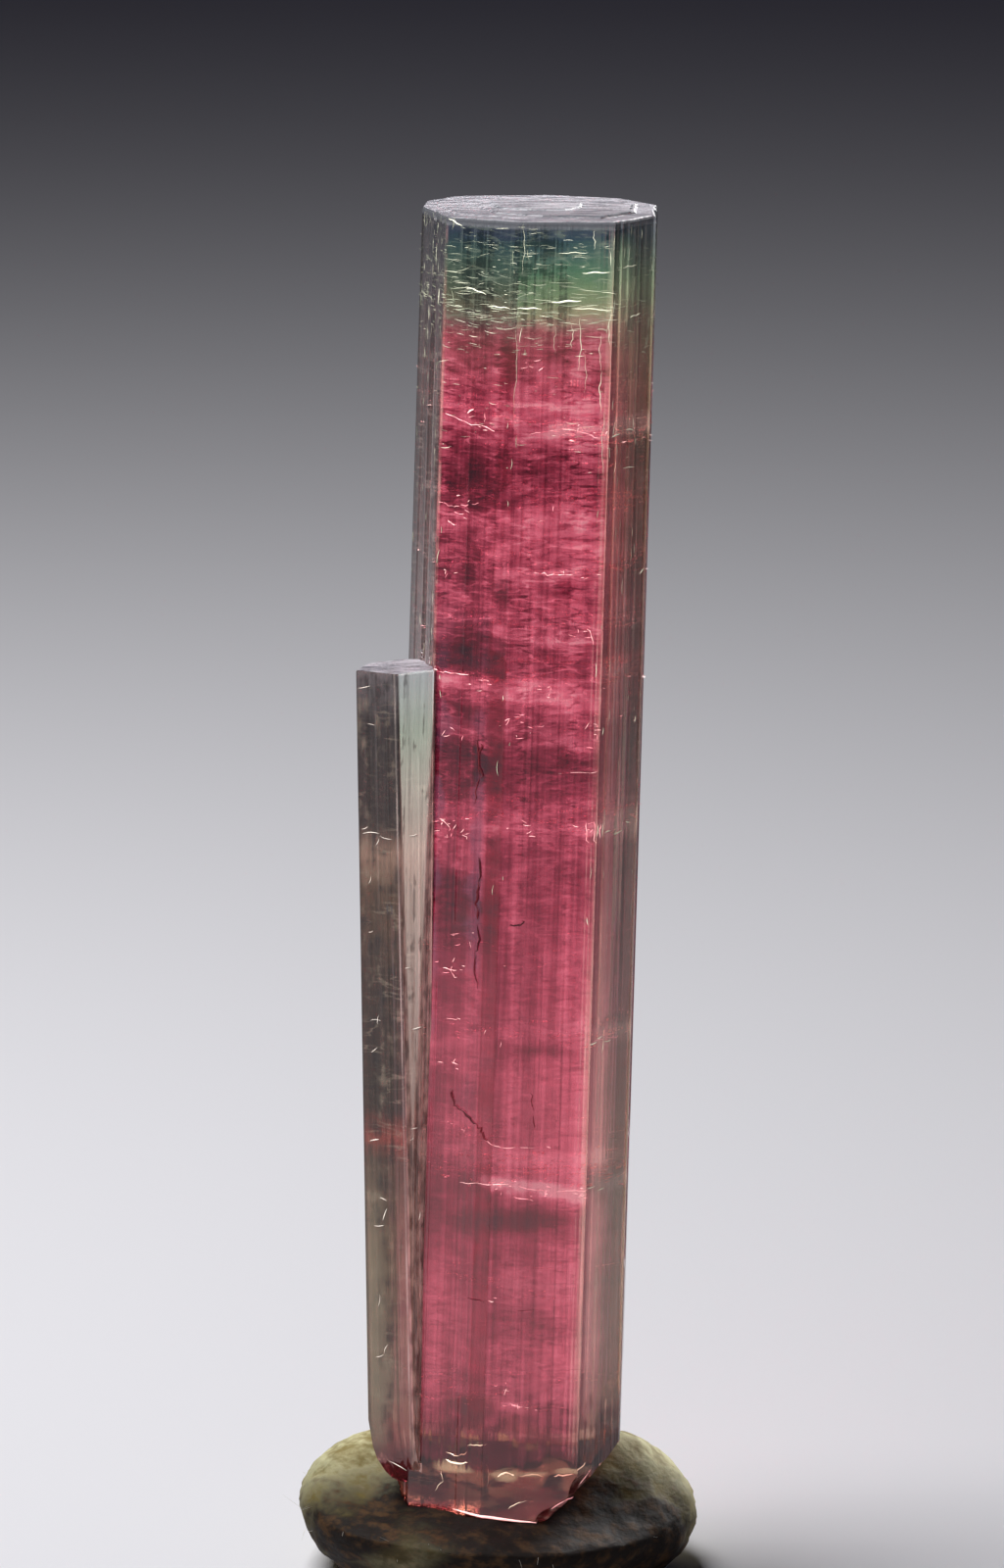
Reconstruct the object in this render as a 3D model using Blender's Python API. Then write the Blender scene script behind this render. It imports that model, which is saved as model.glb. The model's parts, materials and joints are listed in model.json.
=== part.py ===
# A watermelon tourmaline crystal with a thinner crystal grown onto its side,
# standing in a lump of mounting putty. Metres, +Z up, the origin on the surface it
# stands on, under the middle. The broad front faces look towards -Y.

import math
import random

import bmesh
import bpy
from mathutils import Matrix, Vector

MM = 0.001

# Driving dimensions
CRYSTAL_LENGTH = 50.0 * MM
CRYSTAL_FOOT = (0.14 * MM, -0.47 * MM, 3.40 * MM)  # the axis at the broken foot
CRYSTAL_LEAN = math.radians(1.66)  # the top leans towards +X
TOP_SCALE = 0.958  # the section at the top, of that at the foot
SIDE_LENGTH = 31.9 * MM
SIDE_FOOT = (-3.91 * MM, -2.07 * MM, 4.40 * MM)
SIDE_LEAN = math.radians(-0.73)  # the top leans towards -X
PUTTY_WIDTH = 15.40 * MM
PUTTY_DEPTH = 12.80 * MM
PUTTY_MIDDLE = (-0.16 * MM, 0.13 * MM)
SEAT_GAP = 0.35 * MM  # clearance between the putty and the crystal

# The crystal's section at the foot, anticlockwise from the front left edge. Each
# corner has the striations on the face that starts there and their depth.
CRYSTAL_FACES = [
    (-3.65, -2.45, 5, 0.060),
    (-0.83, -3.80, 4, 0.040),
    (2.85, -3.93, 6, 0.100),
    (4.42, -2.05, 7, 0.120),
    (4.58, 1.10, 5, 0.110),
    (3.20, 3.05, 3, 0.070),
    (0.75, 4.00, 5, 0.070),
    (-3.40, 3.80, 3, 0.070),
    (-4.50, 2.30, 3, 0.080),
    (-4.60, 0.75, 6, 0.120),
]

# The side crystal's corners at its foot and at its top, with striations as above.
# The corners at +X lie inside the main crystal.
SIDE_FACES = [
    (-1.05, -0.60, -0.99, -1.00, 5, 0.050),
    (0.75, -1.25, 0.54, -1.85, 3, 0.040),
    (1.20, -0.70, 1.92, -1.12, 1, 0.0),
    (2.30, 0.80, 2.30, 0.80, 1, 0.0),
    (0.90, 1.15, 0.86, 1.12, 3, 0.040),
    (-0.70, 0.55, -0.60, 0.28, 3, 0.050),
]

RISER = 0.03  # width of the slope between two striations, in millimetres
GROWTH_STEPS = 11  # heights at which striations end or begin
STEP_HEIGHT = 0.16 * MM
RIM_WEAR = 0.10 * MM
PLATE_HEIGHT = 0.05 * MM  # the low growth plates on the flat top


def clear_scene():
    for thing in list(bpy.data.objects):
        bpy.data.objects.remove(thing, do_unlink=True)


def collection(name):
    made = bpy.data.collections.new(name)
    bpy.context.scene.collection.children.link(made)
    return made


def material(name, colour, roughness, alpha=1.0):
    made = bpy.data.materials.new(name)
    made.use_nodes = True
    shader = made.node_tree.nodes["Principled BSDF"]
    shader.inputs["Base Color"].default_value = (*colour, 1.0)
    shader.inputs["Roughness"].default_value = roughness
    shader.inputs["Metallic"].default_value = 0.0
    shader.inputs["Alpha"].default_value = alpha
    return made


def add_object(name, mesh_data, group, look=None):
    made = bpy.data.objects.new(name, mesh_data)
    group.objects.link(made)
    if look:
        mesh_data.materials.append(look)
    return made


def hide_cutter(cutter):
    cutter.hide_render = True
    cutter.display_type = "WIRE"


def boolean(target, cutter, operation):
    modifier = target.modifiers.new(f"{operation.lower()} {cutter.name}", "BOOLEAN")
    modifier.operation = operation
    modifier.object = cutter
    modifier.solver = "EXACT"


class Striations:
    """Long bands along a prism's faces, each a little lower or higher than the next."""

    def __init__(self, faces, seed):
        self.bands = []
        draw = random.Random(seed)
        for face, (*_, count, depth) in enumerate(faces):
            cuts = [(i + draw.uniform(-0.3, 0.3)) / count for i in range(1, count)]
            edges = [0.0, *cuts, 1.0]
            for start, end in zip(edges, edges[1:]):
                depths = draw.uniform(0, depth), draw.uniform(0, depth)
                turn_at = draw.randrange(1, GROWTH_STEPS)
                self.bands.append((face, start, end, depths, turn_at))

    def outline(self, corners, step):
        """The section's points: each band keeps its first depth up to one growth step."""
        points = []
        count = len(corners)
        for face, start, end, depths, turn_at in self.bands:
            a = Vector(corners[face])
            b = Vector(corners[(face + 1) % count])
            along = b - a
            inward = Vector((-along.y, along.x)).normalized()
            slope = RISER / along.length
            first = start + slope if start else 0.0
            last = end - slope if end < 1.0 else 1.0 - slope
            sunk = inward * depths[step >= turn_at]
            points.append(a + along * first + sunk)
            points.append(a + along * last + sunk)
        return points


def shrunk(points, scale, about=(0.0, 0.0)):
    middle = Vector(about)
    return [middle + (point - middle) * scale for point in points]


def loft(rings):
    """A closed mesh through rings of points in millimetres. Each ring has its height at
    the axis and how much it climbs towards +X."""
    bm = bmesh.new()
    rows = []
    for outline, height, climb in rings:
        row = [(x * MM, y * MM, height + x * MM * climb) for x, y in outline]
        rows.append([bm.verts.new(point) for point in row])
    for lower, upper in zip(rows, rows[1:]):
        for i in range(len(lower)):
            j = (i + 1) % len(lower)
            bm.faces.new((lower[i], lower[j], upper[j], upper[i]))
    bm.faces.new(list(reversed(rows[0])))
    bm.faces.new(rows[-1])
    made = bpy.data.meshes.new("loft")
    bm.to_mesh(made)
    bm.free()
    return made


def growth_heights(length, seed):
    draw = random.Random(seed)
    spacing = length / GROWTH_STEPS
    return [spacing * (i + draw.uniform(-0.3, 0.3)) for i in range(1, GROWTH_STEPS)]


def crystal_rings():
    """The main prism: a broken foot, stepped sides, a worn rim and a plated top."""
    striations = Striations(CRYSTAL_FACES, seed=11)
    base = [Vector(face[:2]) for face in CRYSTAL_FACES]

    def section(height, step):
        scale = 1 + (TOP_SCALE - 1) * height / CRYSTAL_LENGTH
        return shrunk(striations.outline(base, step), scale)

    rings = [(shrunk(section(0, 0), 0.985), 0.0, 0.0), (section(0, 0), 0.12 * MM, 0.0)]
    heights = growth_heights(CRYSTAL_LENGTH, seed=5)
    for step, height in enumerate(heights, start=1):
        rings.append((section(height, step - 1), height, 0.0))
        rings.append((section(height, step), height + STEP_HEIGHT, 0.0))
    top = section(CRYSTAL_LENGTH, GROWTH_STEPS)
    plates = [(0.86, (-0.8, 1.6)), (0.66, (1.6, -0.9)), (0.40, (-0.3, 0.2))]
    level = CRYSTAL_LENGTH - PLATE_HEIGHT * len(plates)
    upright = math.tan(CRYSTAL_LEAN)  # keeps the top face level although the prism leans
    rings.append((top, level - RIM_WEAR, upright))
    rings.append((shrunk(top, 0.978), level, upright))
    for scale, about in plates:
        rings.append((shrunk(top, scale, about), level, upright))
        level += PLATE_HEIGHT
        rings.append((shrunk(top, scale - 0.02, about), level, upright))
    return rings


def side_rings():
    """The side prism, which widens to the left of its foot and ends flat at the top."""
    striations = Striations(SIDE_FACES, seed=23)
    inside = (2.1, 0.0)

    def section(height, step):
        share = height / SIDE_LENGTH
        corners = [
            Vector(face[0:2]).lerp(Vector(face[2:4]), share) for face in SIDE_FACES
        ]
        return striations.outline(corners, step)

    broken = [(0.62, 0.0), (0.80, 0.45), (0.95, 1.5), (1.0, 2.6)]
    rings = [(shrunk(section(0, 0), scale, inside), height * MM, 0.0) for scale, height in broken]
    for step, height in enumerate(growth_heights(SIDE_LENGTH, seed=8), start=1):
        if height > 3.5 * MM:
            rings.append((section(height, step - 1), height, 0.0))
            rings.append((section(height, step), height + STEP_HEIGHT, 0.0))
    top = section(SIDE_LENGTH, GROWTH_STEPS)
    rings.append((top, SIDE_LENGTH - 0.06 * MM, 0.0))
    rings.append((shrunk(top, 0.97), SIDE_LENGTH, 0.0))
    return rings


def foot_chip(name, group, offset=0.0):
    """A tilted block that takes the broken corner off the foot, at the front right."""
    outward = Vector((0.735, -0.147, -0.661)).normalized()
    on_plane = Vector((1.60, -3.90, 0.0)) * MM + outward * offset
    side = 12 * MM
    bm = bmesh.new()
    bmesh.ops.create_cube(bm, size=side)
    made = bpy.data.meshes.new(name)
    bm.to_mesh(made)
    bm.free()
    chip = add_object(name, made, group)
    turn = outward.to_track_quat("Z", "Y").to_matrix().to_4x4()
    chip.matrix_world = foot_frame() @ Matrix.Translation(on_plane + outward * side / 2) @ turn
    hide_cutter(chip)
    return chip


def scoop(name, group, place, radius):
    """A ball that leaves a shell-shaped break."""
    bm = bmesh.new()
    bmesh.ops.create_icosphere(bm, subdivisions=2, radius=radius * MM)
    made = bpy.data.meshes.new(name)
    bm.to_mesh(made)
    bm.free()
    ball = add_object(name, made, group)
    ball.matrix_world = foot_frame() @ Matrix.Translation(Vector(place) * MM)
    hide_cutter(ball)
    return ball


def foot_frame():
    """The main crystal's own frame: its foot's middle, with its lean."""
    return Matrix.Translation(CRYSTAL_FOOT) @ Matrix.Rotation(CRYSTAL_LEAN, 4, "Y")


def side_frame():
    return Matrix.Translation(SIDE_FOOT) @ Matrix.Rotation(SIDE_LEAN, 4, "Y")


def make_crystal(group, cutters):
    look = material("tourmaline", (0.62, 0.12, 0.20), 0.06, alpha=0.6)
    crystal = add_object("tourmaline_crystal", loft(crystal_rings()), group, look)
    crystal.matrix_world = foot_frame()
    side = add_object("side_crystal", loft(side_rings()), cutters)
    side.matrix_world = side_frame()
    hide_cutter(side)
    boolean(crystal, side, "UNION")
    boolean(crystal, foot_chip("foot_chip", cutters), "DIFFERENCE")
    breaks = [
        ((2.15, -4.75, -0.35), 1.35),
        ((3.70, -4.30, 1.05), 1.30),
        ((-4.40, -3.15, -0.45), 1.10),
    ]
    for i, (place, radius) in enumerate(breaks):
        boolean(crystal, scoop(f"scoop_{i}", cutters, place, radius), "DIFFERENCE")
    return crystal


def smooth(low, high, value):
    share = min(max((value - low) / (high - low), 0.0), 1.0)
    return share * share * (3 - 2 * share)


def bump(x, y, at_x, at_y, reach):
    return math.exp(-((x - at_x) ** 2 + (y - at_y) ** 2) / reach**2)


def putty_point(direction):
    """A point of the lump, in millimetres, from a direction on the unit ball."""
    x = direction.x * PUTTY_WIDTH / MM / 2
    y = direction.y * PUTTY_DEPTH / MM / 2
    middle_z = 2.65 - 0.035 * x
    if direction.z > 0:
        # pressed low in front of the crystal, and left high behind it
        rise = 2.9 * (0.30 + 0.70 * smooth(-5.6, 0.4, y))
        rise -= 0.9 * bump(x, y, -4.4, -2.4, 2.0)
        rise += 0.9 * bump(x, y, 5.8, 0.2, 2.6)
        z = middle_z + direction.z * rise
    else:
        z = middle_z + direction.z * 3.9
    around = math.atan2(direction.y, direction.x)
    swell = 1 + 0.018 * math.sin(3 * around + 0.6) + 0.012 * math.sin(5 * around + 2.1)
    return Vector((x * swell + PUTTY_MIDDLE[0] / MM, y * swell + PUTTY_MIDDLE[1] / MM, z))


def make_putty(group, cutters):
    look = material("putty", (0.25, 0.23, 0.10), 0.6)
    bm = bmesh.new()
    bmesh.ops.create_icosphere(bm, subdivisions=4, radius=1.0)
    for vert in bm.verts:
        vert.co = putty_point(vert.co) * MM
    everything = bm.verts[:] + bm.edges[:] + bm.faces[:]
    cut = bmesh.ops.bisect_plane(
        bm, geom=everything, plane_co=(0, 0, 0), plane_no=(0, 0, -1), clear_outer=True
    )
    rim = [e for e in cut["geom_cut"] if isinstance(e, bmesh.types.BMEdge)]
    bmesh.ops.contextual_create(bm, geom=rim)
    made = bpy.data.meshes.new("mounting_putty")
    bm.to_mesh(made)
    bm.free()
    putty = add_object("mounting_putty", made, group, look)

    corners = [Vector(face[:2]) for face in CRYSTAL_FACES]
    widened = shrunk(corners, 1 + SEAT_GAP / MM / 3.7)
    walls = [(widened, -SEAT_GAP, 0.0), (widened, 12 * MM, 0.0)]
    seat = add_object("seat", loft(walls), cutters)
    seat.matrix_world = foot_frame()
    hide_cutter(seat)
    boolean(seat, foot_chip("seat_chip", cutters, SEAT_GAP), "DIFFERENCE")
    boolean(putty, seat, "DIFFERENCE")
    return putty


def shade(thing, angle):
    thing.data.shade_smooth()
    thing.data.set_sharp_from_angle(angle=math.radians(angle))


def main():
    clear_scene()
    group = collection("watermelon_tourmaline")
    cutters = collection("cutters")
    make_crystal(group, cutters)
    shade(make_putty(group, cutters), 50)


main()
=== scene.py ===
import json
import math
import random

import bmesh
import bpy
from mathutils import Matrix, Vector, noise
from mathutils.bvhtree import BVHTree

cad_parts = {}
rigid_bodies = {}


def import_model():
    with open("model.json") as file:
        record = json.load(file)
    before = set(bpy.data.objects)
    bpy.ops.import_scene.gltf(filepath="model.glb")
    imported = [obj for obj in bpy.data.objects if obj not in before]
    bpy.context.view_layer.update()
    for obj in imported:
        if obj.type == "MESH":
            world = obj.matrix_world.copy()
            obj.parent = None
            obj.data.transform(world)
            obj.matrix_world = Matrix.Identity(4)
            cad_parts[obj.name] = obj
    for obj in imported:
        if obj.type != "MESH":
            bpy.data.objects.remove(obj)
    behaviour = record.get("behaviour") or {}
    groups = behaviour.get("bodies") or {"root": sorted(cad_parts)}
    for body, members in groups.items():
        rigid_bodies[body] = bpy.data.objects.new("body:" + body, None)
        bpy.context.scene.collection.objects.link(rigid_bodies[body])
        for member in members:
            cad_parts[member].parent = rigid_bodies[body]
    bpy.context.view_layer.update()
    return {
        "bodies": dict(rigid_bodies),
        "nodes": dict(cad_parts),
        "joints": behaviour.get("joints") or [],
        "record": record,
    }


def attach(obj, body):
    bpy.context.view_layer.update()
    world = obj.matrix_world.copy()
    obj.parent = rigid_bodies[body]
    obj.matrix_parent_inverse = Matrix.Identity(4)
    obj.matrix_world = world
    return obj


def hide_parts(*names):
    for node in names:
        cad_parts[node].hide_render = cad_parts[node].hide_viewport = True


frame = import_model()
mm = 0.001


# Shader wires: a formula on them adds its Math nodes

class Wire:
    def __init__(self, paint, socket):
        self.paint = paint
        self.socket = socket

    def sum(self, operation, first, second=None):
        sockets = {0: first} if second is None else {0: first, 1: second}
        return self.paint.node("ShaderNodeMath", {"operation": operation}, sockets)

    def __add__(self, other):
        return self.sum("ADD", self, other)

    def __radd__(self, other):
        return self.sum("ADD", other, self)

    def __sub__(self, other):
        return self.sum("SUBTRACT", self, other)

    def __rsub__(self, other):
        return self.sum("SUBTRACT", other, self)

    def __mul__(self, other):
        return self.sum("MULTIPLY", self, other)

    def __truediv__(self, other):
        return self.sum("DIVIDE", self, other)

    def __abs__(self):
        return self.sum("ABSOLUTE", self)

    def over(self, low, high):  # 0 below low, 1 above high, eased between
        return self.paint.node(
            "ShaderNodeMapRange",
            {"interpolation_type": "SMOOTHSTEP"},
            {"Value": self, "From Min": low, "From Max": high},
        )

    def under(self, low, high):
        return 1 - self.over(low, high)

    def near(self, place, low, high):  # 1 within low of the place, 0 beyond high
        return abs(self - place).under(low, high)


class Paint:
    def __init__(self, name):
        self.material = bpy.data.materials.new(name)
        self.material.use_nodes = True
        self.tree = self.material.node_tree
        self.tree.nodes.clear()

    def node(self, kind, settings=None, sockets=None, out=0):
        made = self.tree.nodes.new(kind)
        for key, value in (settings or {}).items():
            if key == "stops":
                self.setStops(made.color_ramp, value)
            else:
                setattr(made, key, value)
        for key, value in (sockets or {}).items():
            if isinstance(value, Wire):
                self.tree.links.new(value.socket, made.inputs[key])
            elif made.inputs[key].type == "RGBA":
                made.inputs[key].default_value = (*value, 1.0)
            else:
                made.inputs[key].default_value = value
        return Wire(self, made.outputs[out]) if made.outputs else made

    def setStops(self, ramp, stops):
        while len(ramp.elements) < len(stops):
            ramp.elements.new(1.0)
        for element, (place, colour) in zip(ramp.elements, stops):
            element.position = place
            element.color = (*colour, 1.0)

    def mix(self, a, b, share):
        settings = {"data_type": "RGBA", "clamp_factor": True}
        return self.node("ShaderNodeMix", settings, {0: share, 6: a, 7: b}, out=2)

    def coats(self, colour, *coats):
        # each coat is a colour, 0 to 255, and how much of it covers the ones below
        for tone, share in coats:
            colour = self.mix(colour, shade(*tone), share)
        return colour

    def ramp(self, value, stops):
        return self.node("ShaderNodeValToRGB", {"stops": stops}, {"Fac": value})

    def grey(self, colour):
        return self.node("ShaderNodeRGBToBW", None, {"Color": colour})

    def faceNumber(self, name):
        return self.node("ShaderNodeAttribute", {"attribute_name": name}, None, out=2)

    def vector(self, x, y, z):
        return self.node("ShaderNodeCombineXYZ", None, {0: x, 1: y, 2: z})

    def noise(self, vector, detail=2.0, roughness=0.5):
        sockets = {"Vector": vector, "Scale": 1.0, "Detail": detail, "Roughness": roughness}
        return self.node("ShaderNodeTexNoise", None, sockets)

    def bump(self, height, strength, distance):
        sockets = {"Height": height, "Strength": strength, "Distance": distance}
        return self.node("ShaderNodeBump", None, sockets)

    def axes(self):
        # the piece's own coordinates in millimetres
        place = self.node("ShaderNodeTexCoord", None, None, out=3)
        split = self.tree.nodes.new("ShaderNodeSeparateXYZ")
        self.tree.links.new(place.socket, split.inputs[0])
        return [Wire(self, split.outputs[i]) * 1000.0 for i in range(3)]

    def finish(self, sockets, volume=None):
        shader = self.node("ShaderNodeBsdfPrincipled", None, sockets)
        ends = {"Surface": shader}
        if volume:
            ends["Volume"] = self.node("ShaderNodeVolumeAbsorption", None, volume)
        self.node("ShaderNodeOutputMaterial", None, ends)
        return self.material


def shade(red, green, blue):
    # a colour as the eye reads it, 0 to 255, to the linear values a shader takes
    def linear(value):
        value /= 255
        return value / 12.92 if value < 0.04045 else ((value + 0.055) / 1.055) ** 2.4
    return tuple(linear(v) for v in (red, green, blue))


def looseObject(name, data, frame=None):
    made = bpy.data.objects.new(name, data)
    bpy.context.scene.collection.objects.link(made)
    if frame:
        made.matrix_world = frame
    return made


def addObject(name, mesh, body="root"):
    made = looseObject(name, mesh)
    if body:
        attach(made, body)
    return made


def meshOf(name, bm):
    made = bpy.data.meshes.new(name)
    bm.to_mesh(made)
    bm.free()
    return made


def meshFrom(name, points, faces):
    made = bpy.data.meshes.new(name)
    made.from_pydata([tuple(p) for p in points], [], faces)
    made.validate()
    made.update()
    return made


# Where the crystal stands. These repeat the part's own dimensions, in millimetres.

crystal = {
    "length": 50.0,
    "foot": Vector((0.14, -0.47, 3.40)),
    "lean": math.radians(1.66),
    "topScale": 0.958,
    "growthSteps": 11,
    "stepHeight": 0.16,
    # corner x, corner y, striations on the face that starts there, their depth
    "faces": [
        (-3.65, -2.45, 5, 0.06), (-0.83, -3.8, 4, 0.04), (2.85, -3.93, 6, 0.1),
        (4.42, -2.05, 7, 0.12), (4.58, 1.1, 5, 0.11), (3.2, 3.05, 3, 0.07), (0.75, 4.0, 5, 0.07),
        (-3.4, 3.8, 3, 0.07), (-4.5, 2.3, 3, 0.08), (-4.6, 0.75, 6, 0.12),
    ],
    "seed": 11,
    "stepSeed": 5,
    "fineStripes": 6,      # fine striations in each of the larger ones
    "fineDepth": 0.016,
    "levelSpacing": 0.35,
    "sharpAngle": 18,
}

bodyCorners = [Vector(face[:2]) for face in crystal["faces"]]
bodySides = list(zip(bodyCorners, bodyCorners[1:] + bodyCorners[:1]))
front = Vector((0, -1, 0))

sideCrystal = {
    "length": 31.9,
    "foot": Vector((-3.91, -2.07, 4.40)),
    "lean": math.radians(-0.73),
    # corner at the foot, corner at the top, striations and depth as above
    "faces": [
        (-1.05, -0.6, -0.99, -1.0, 5, 0.05), (0.75, -1.25, 0.54, -1.85, 3, 0.04),
        (1.2, -0.7, 1.92, -1.12, 1, 0.0), (2.3, 0.8, 2.3, 0.8, 1, 0.0),
        (0.9, 1.15, 0.86, 1.12, 3, 0.04), (-0.7, 0.55, -0.6, 0.28, 3, 0.05),
    ],
    "seed": 23,
    "stepSeed": 8,
    "fineStripes": 6,
    "fineDepth": 0.014,
    "levelSpacing": 0.35,
}


def ownFrame(piece):
    return Matrix.Translation(piece["foot"]) @ Matrix.Rotation(piece["lean"], 4, "Y")


def taper(height):
    return 1 + (crystal["topScale"] - 1) * height / crystal["length"]


def cornersAt(piece, height):
    if piece is crystal:
        return [corner * taper(height) for corner in bodyCorners]
    share = height / piece["length"]
    return [Vector(face[:2]).lerp(Vector(face[2:4]), share) for face in piece["faces"]]


def growthHeights(length, seed):
    draw = random.Random(seed)
    steps = crystal["growthSteps"]
    spacing = length / steps
    return [spacing * (i + draw.uniform(-0.3, 0.3)) for i in range(1, steps)]


def eased(low, high, value):
    share = min(max((value - low) / (high - low), 0.0), 1.0)
    return share * share * (3 - 2 * share)


class Striations:
    # the part's own bands on each face, and finer ones inside them

    def __init__(self, piece):
        faces = piece["faces"]
        self.piece = piece
        self.bands = []
        self.steps = growthHeights(piece["length"], piece["stepSeed"])
        draw = random.Random(piece["seed"])
        for face, (*_, count, depth) in enumerate(faces):
            cuts = [(i + draw.uniform(-0.3, 0.3)) / count for i in range(1, count)]
            edges = [0.0, *cuts, 1.0]
            for start, end in zip(edges, edges[1:]):
                depths = draw.uniform(0, depth), draw.uniform(0, depth)
                turnAt = draw.randrange(1, crystal["growthSteps"])
                self.bands.append((face, start, end, depths, turnAt))
        self.fine = self.fineProfiles(len(self.bands) * piece["fineStripes"])

    def fineProfiles(self, count):
        # each fine striation runs for some millimetres, then steps in or out
        draw = random.Random(self.piece["seed"] + 100)
        made = []
        for _ in range(count):
            ends, height = [], draw.uniform(-6, 6)
            while height < self.piece["length"]:
                ends.append((height, draw.random() ** 2 * self.piece["fineDepth"]))
                height += draw.uniform(2.5, 16)
            made.append(ends)
        return made

    def fineDepth(self, stripe, height):
        ends = self.fine[stripe]
        depth = ends[0][1]
        for start, value in ends[1:]:
            if height > start:
                depth += (value - depth) * eased(start, start + 0.5, height)
        return depth

    def outline(self, corners, height):
        points = []
        stripes = self.piece["fineStripes"]
        for number, (face, start, end, depths, turnAt) in enumerate(self.bands):
            a = corners[face]
            b = corners[(face + 1) % len(corners)]
            along = b - a
            inward = Vector((-along.y, along.x)).normalized()
            riser = 0.03 / along.length
            first = start + riser if start else 0.0
            last = end - riser if end < 1.0 else 1.0 - riser
            step = self.steps[turnAt - 1]
            turned = eased(step, step + crystal["stepHeight"], height)
            sunk = depths[0] + (depths[1] - depths[0]) * turned
            for i in range(stripes):
                fine = 0.0
                if 0 < i < stripes - 1:
                    fine = self.fineDepth(number * stripes + i, height)
                share = first + (last - first) * i / (stripes - 1)
                points.append(a + along * share + inward * (sunk + fine))
        return points


def shrunk(points, scale, about=(0.0, 0.0)):
    middle = Vector(about)
    return [middle + (p - middle) * scale for p in points]


def loft(name, rings):
    points, faces = [], []
    for outline, height, climb in rings:
        points += [(p.x * mm, p.y * mm, (height + p.x * climb) * mm) for p in outline]
    count = len(rings[0][0])
    for r in range(len(rings) - 1):
        low, high = r * count, (r + 1) * count
        for i in range(count):
            j = (i + 1) % count
            faces.append((low + i, low + j, high + j, high + i))
    faces.append(tuple(reversed(range(count))))
    faces.append(tuple(range(len(points) - count, len(points))))
    return meshFrom(name, points, faces)


def crystalMesh():
    striations = Striations(crystal)
    length = crystal["length"]

    def section(height):
        return shrunk(striations.outline(bodyCorners, height), taper(height))

    bevel, plateHeight, rimWear = 0.12, 0.05, 0.10
    rings = [(shrunk(section(0), 0.985), 0.0, 0.0), (section(0), bevel, 0.0)]
    # growth plates on the flat top: their size and what they shrink towards
    plates = [(0.86, (-0.8, 1.6)), (0.66, (1.6, -0.9)), (0.40, (-0.3, 0.2))]
    level = length - plateHeight * len(plates)
    walls = level - 0.6  # the rest below the top is left to the worn rim
    count = round(walls / crystal["levelSpacing"])
    for i in range(1, count):
        height = bevel + walls * i / count
        rings.append((section(height), height, 0.0))
    upright = math.tan(crystal["lean"])
    top = section(length)
    rings.append((top, level - rimWear, upright))
    rings.append((shrunk(top, 0.990), level - 0.03, upright))
    rings.append((shrunk(top, 0.978), level, upright))
    for scale, about in plates:
        rings.append((shrunk(top, scale, about), level, upright))
        level += plateHeight
        rings.append((shrunk(top, scale - 0.02, about), level, upright))
    return loft("crystal", rings)


def sideMesh():
    striations = Striations(sideCrystal)
    length = sideCrystal["length"]
    inside = (2.1, 0.0)

    def section(height):
        return striations.outline(cornersAt(sideCrystal, height), height)

    # the broken bottom: how wide it is at each height
    broken = [(0.62, 0.0), (0.72, 0.18), (0.80, 0.45), (0.90, 1.0), (0.95, 1.5), (1.0, 2.6)]
    rings = [(shrunk(section(height), scale, inside), height, 0.0) for scale, height in broken]
    start, walls = broken[-1][1], length - 2.7  # from the broken bottom to the top's edge
    count = round(walls / sideCrystal["levelSpacing"])
    for i in range(1, count):
        height = start + walls * i / count
        rings.append((section(height), height, 0.0))
    top = section(length)
    rings.append((top, length - 0.06, 0.0))
    rings.append((shrunk(top, 0.97), length, 0.0))
    return loft("sideCrystal", rings)


def boolean(target, cutter, operation):
    modifier = target.modifiers.new(operation.lower(), "BOOLEAN")
    modifier.operation = operation
    modifier.object = cutter
    modifier.solver = "MANIFOLD"


def settle(target):
    # the modifiers' result becomes the mesh itself
    graph = bpy.context.evaluated_depsgraph_get()
    made = bpy.data.meshes.new_from_object(target.evaluated_get(graph))
    target.modifiers.clear()
    target.data = made


def millimetres(matrix):
    # a frame given in millimetres, for meshes in metres
    return Matrix.Translation(matrix.translation * mm) @ matrix.to_3x3().to_4x4()


def footChip():
    outward = Vector((0.735, -0.147, -0.661)).normalized()
    onPlane = Vector((1.60, -3.90, 0.0))
    side = 12.0
    bm = bmesh.new()
    bmesh.ops.create_grid(bm, x_segments=40, y_segments=40, size=side / 2 * mm)
    for vert in bm.verts:  # ripples of a shell-like break
        far = math.hypot(vert.co.x / mm + 3.0, vert.co.y / mm - 1.0)
        vert.co.z += (0.05 * math.sin(far * 5.0) + 0.10 * noise.noise(vert.co * 900)) * mm
    bottom = [e for e in bm.edges if e.is_boundary]
    pulled = bmesh.ops.extrude_edge_only(bm, edges=bottom)["geom"]
    for vert in [g for g in pulled if isinstance(g, bmesh.types.BMVert)]:
        vert.co.z = side * mm
    rim = [e for e in bm.edges if e.is_boundary]
    bmesh.ops.contextual_create(bm, geom=rim)
    bmesh.ops.recalc_face_normals(bm, faces=bm.faces[:])
    turn = outward.to_track_quat("Z", "Y").to_matrix().to_4x4()
    place = ownFrame(crystal) @ Matrix.Translation(onPlane) @ turn
    return looseObject("footChip", meshOf("footChip", bm), millimetres(place))


def scoop(place, radius):
    bm = bmesh.new()
    bmesh.ops.create_icosphere(bm, subdivisions=4, radius=radius * mm)
    for vert in bm.verts:
        vert.co *= 1 + 0.03 * noise.noise(vert.co * 1800)
    middle = ownFrame(crystal) @ Matrix.Translation(place)
    return looseObject("scoop", meshOf("scoop", bm), millimetres(middle))


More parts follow.
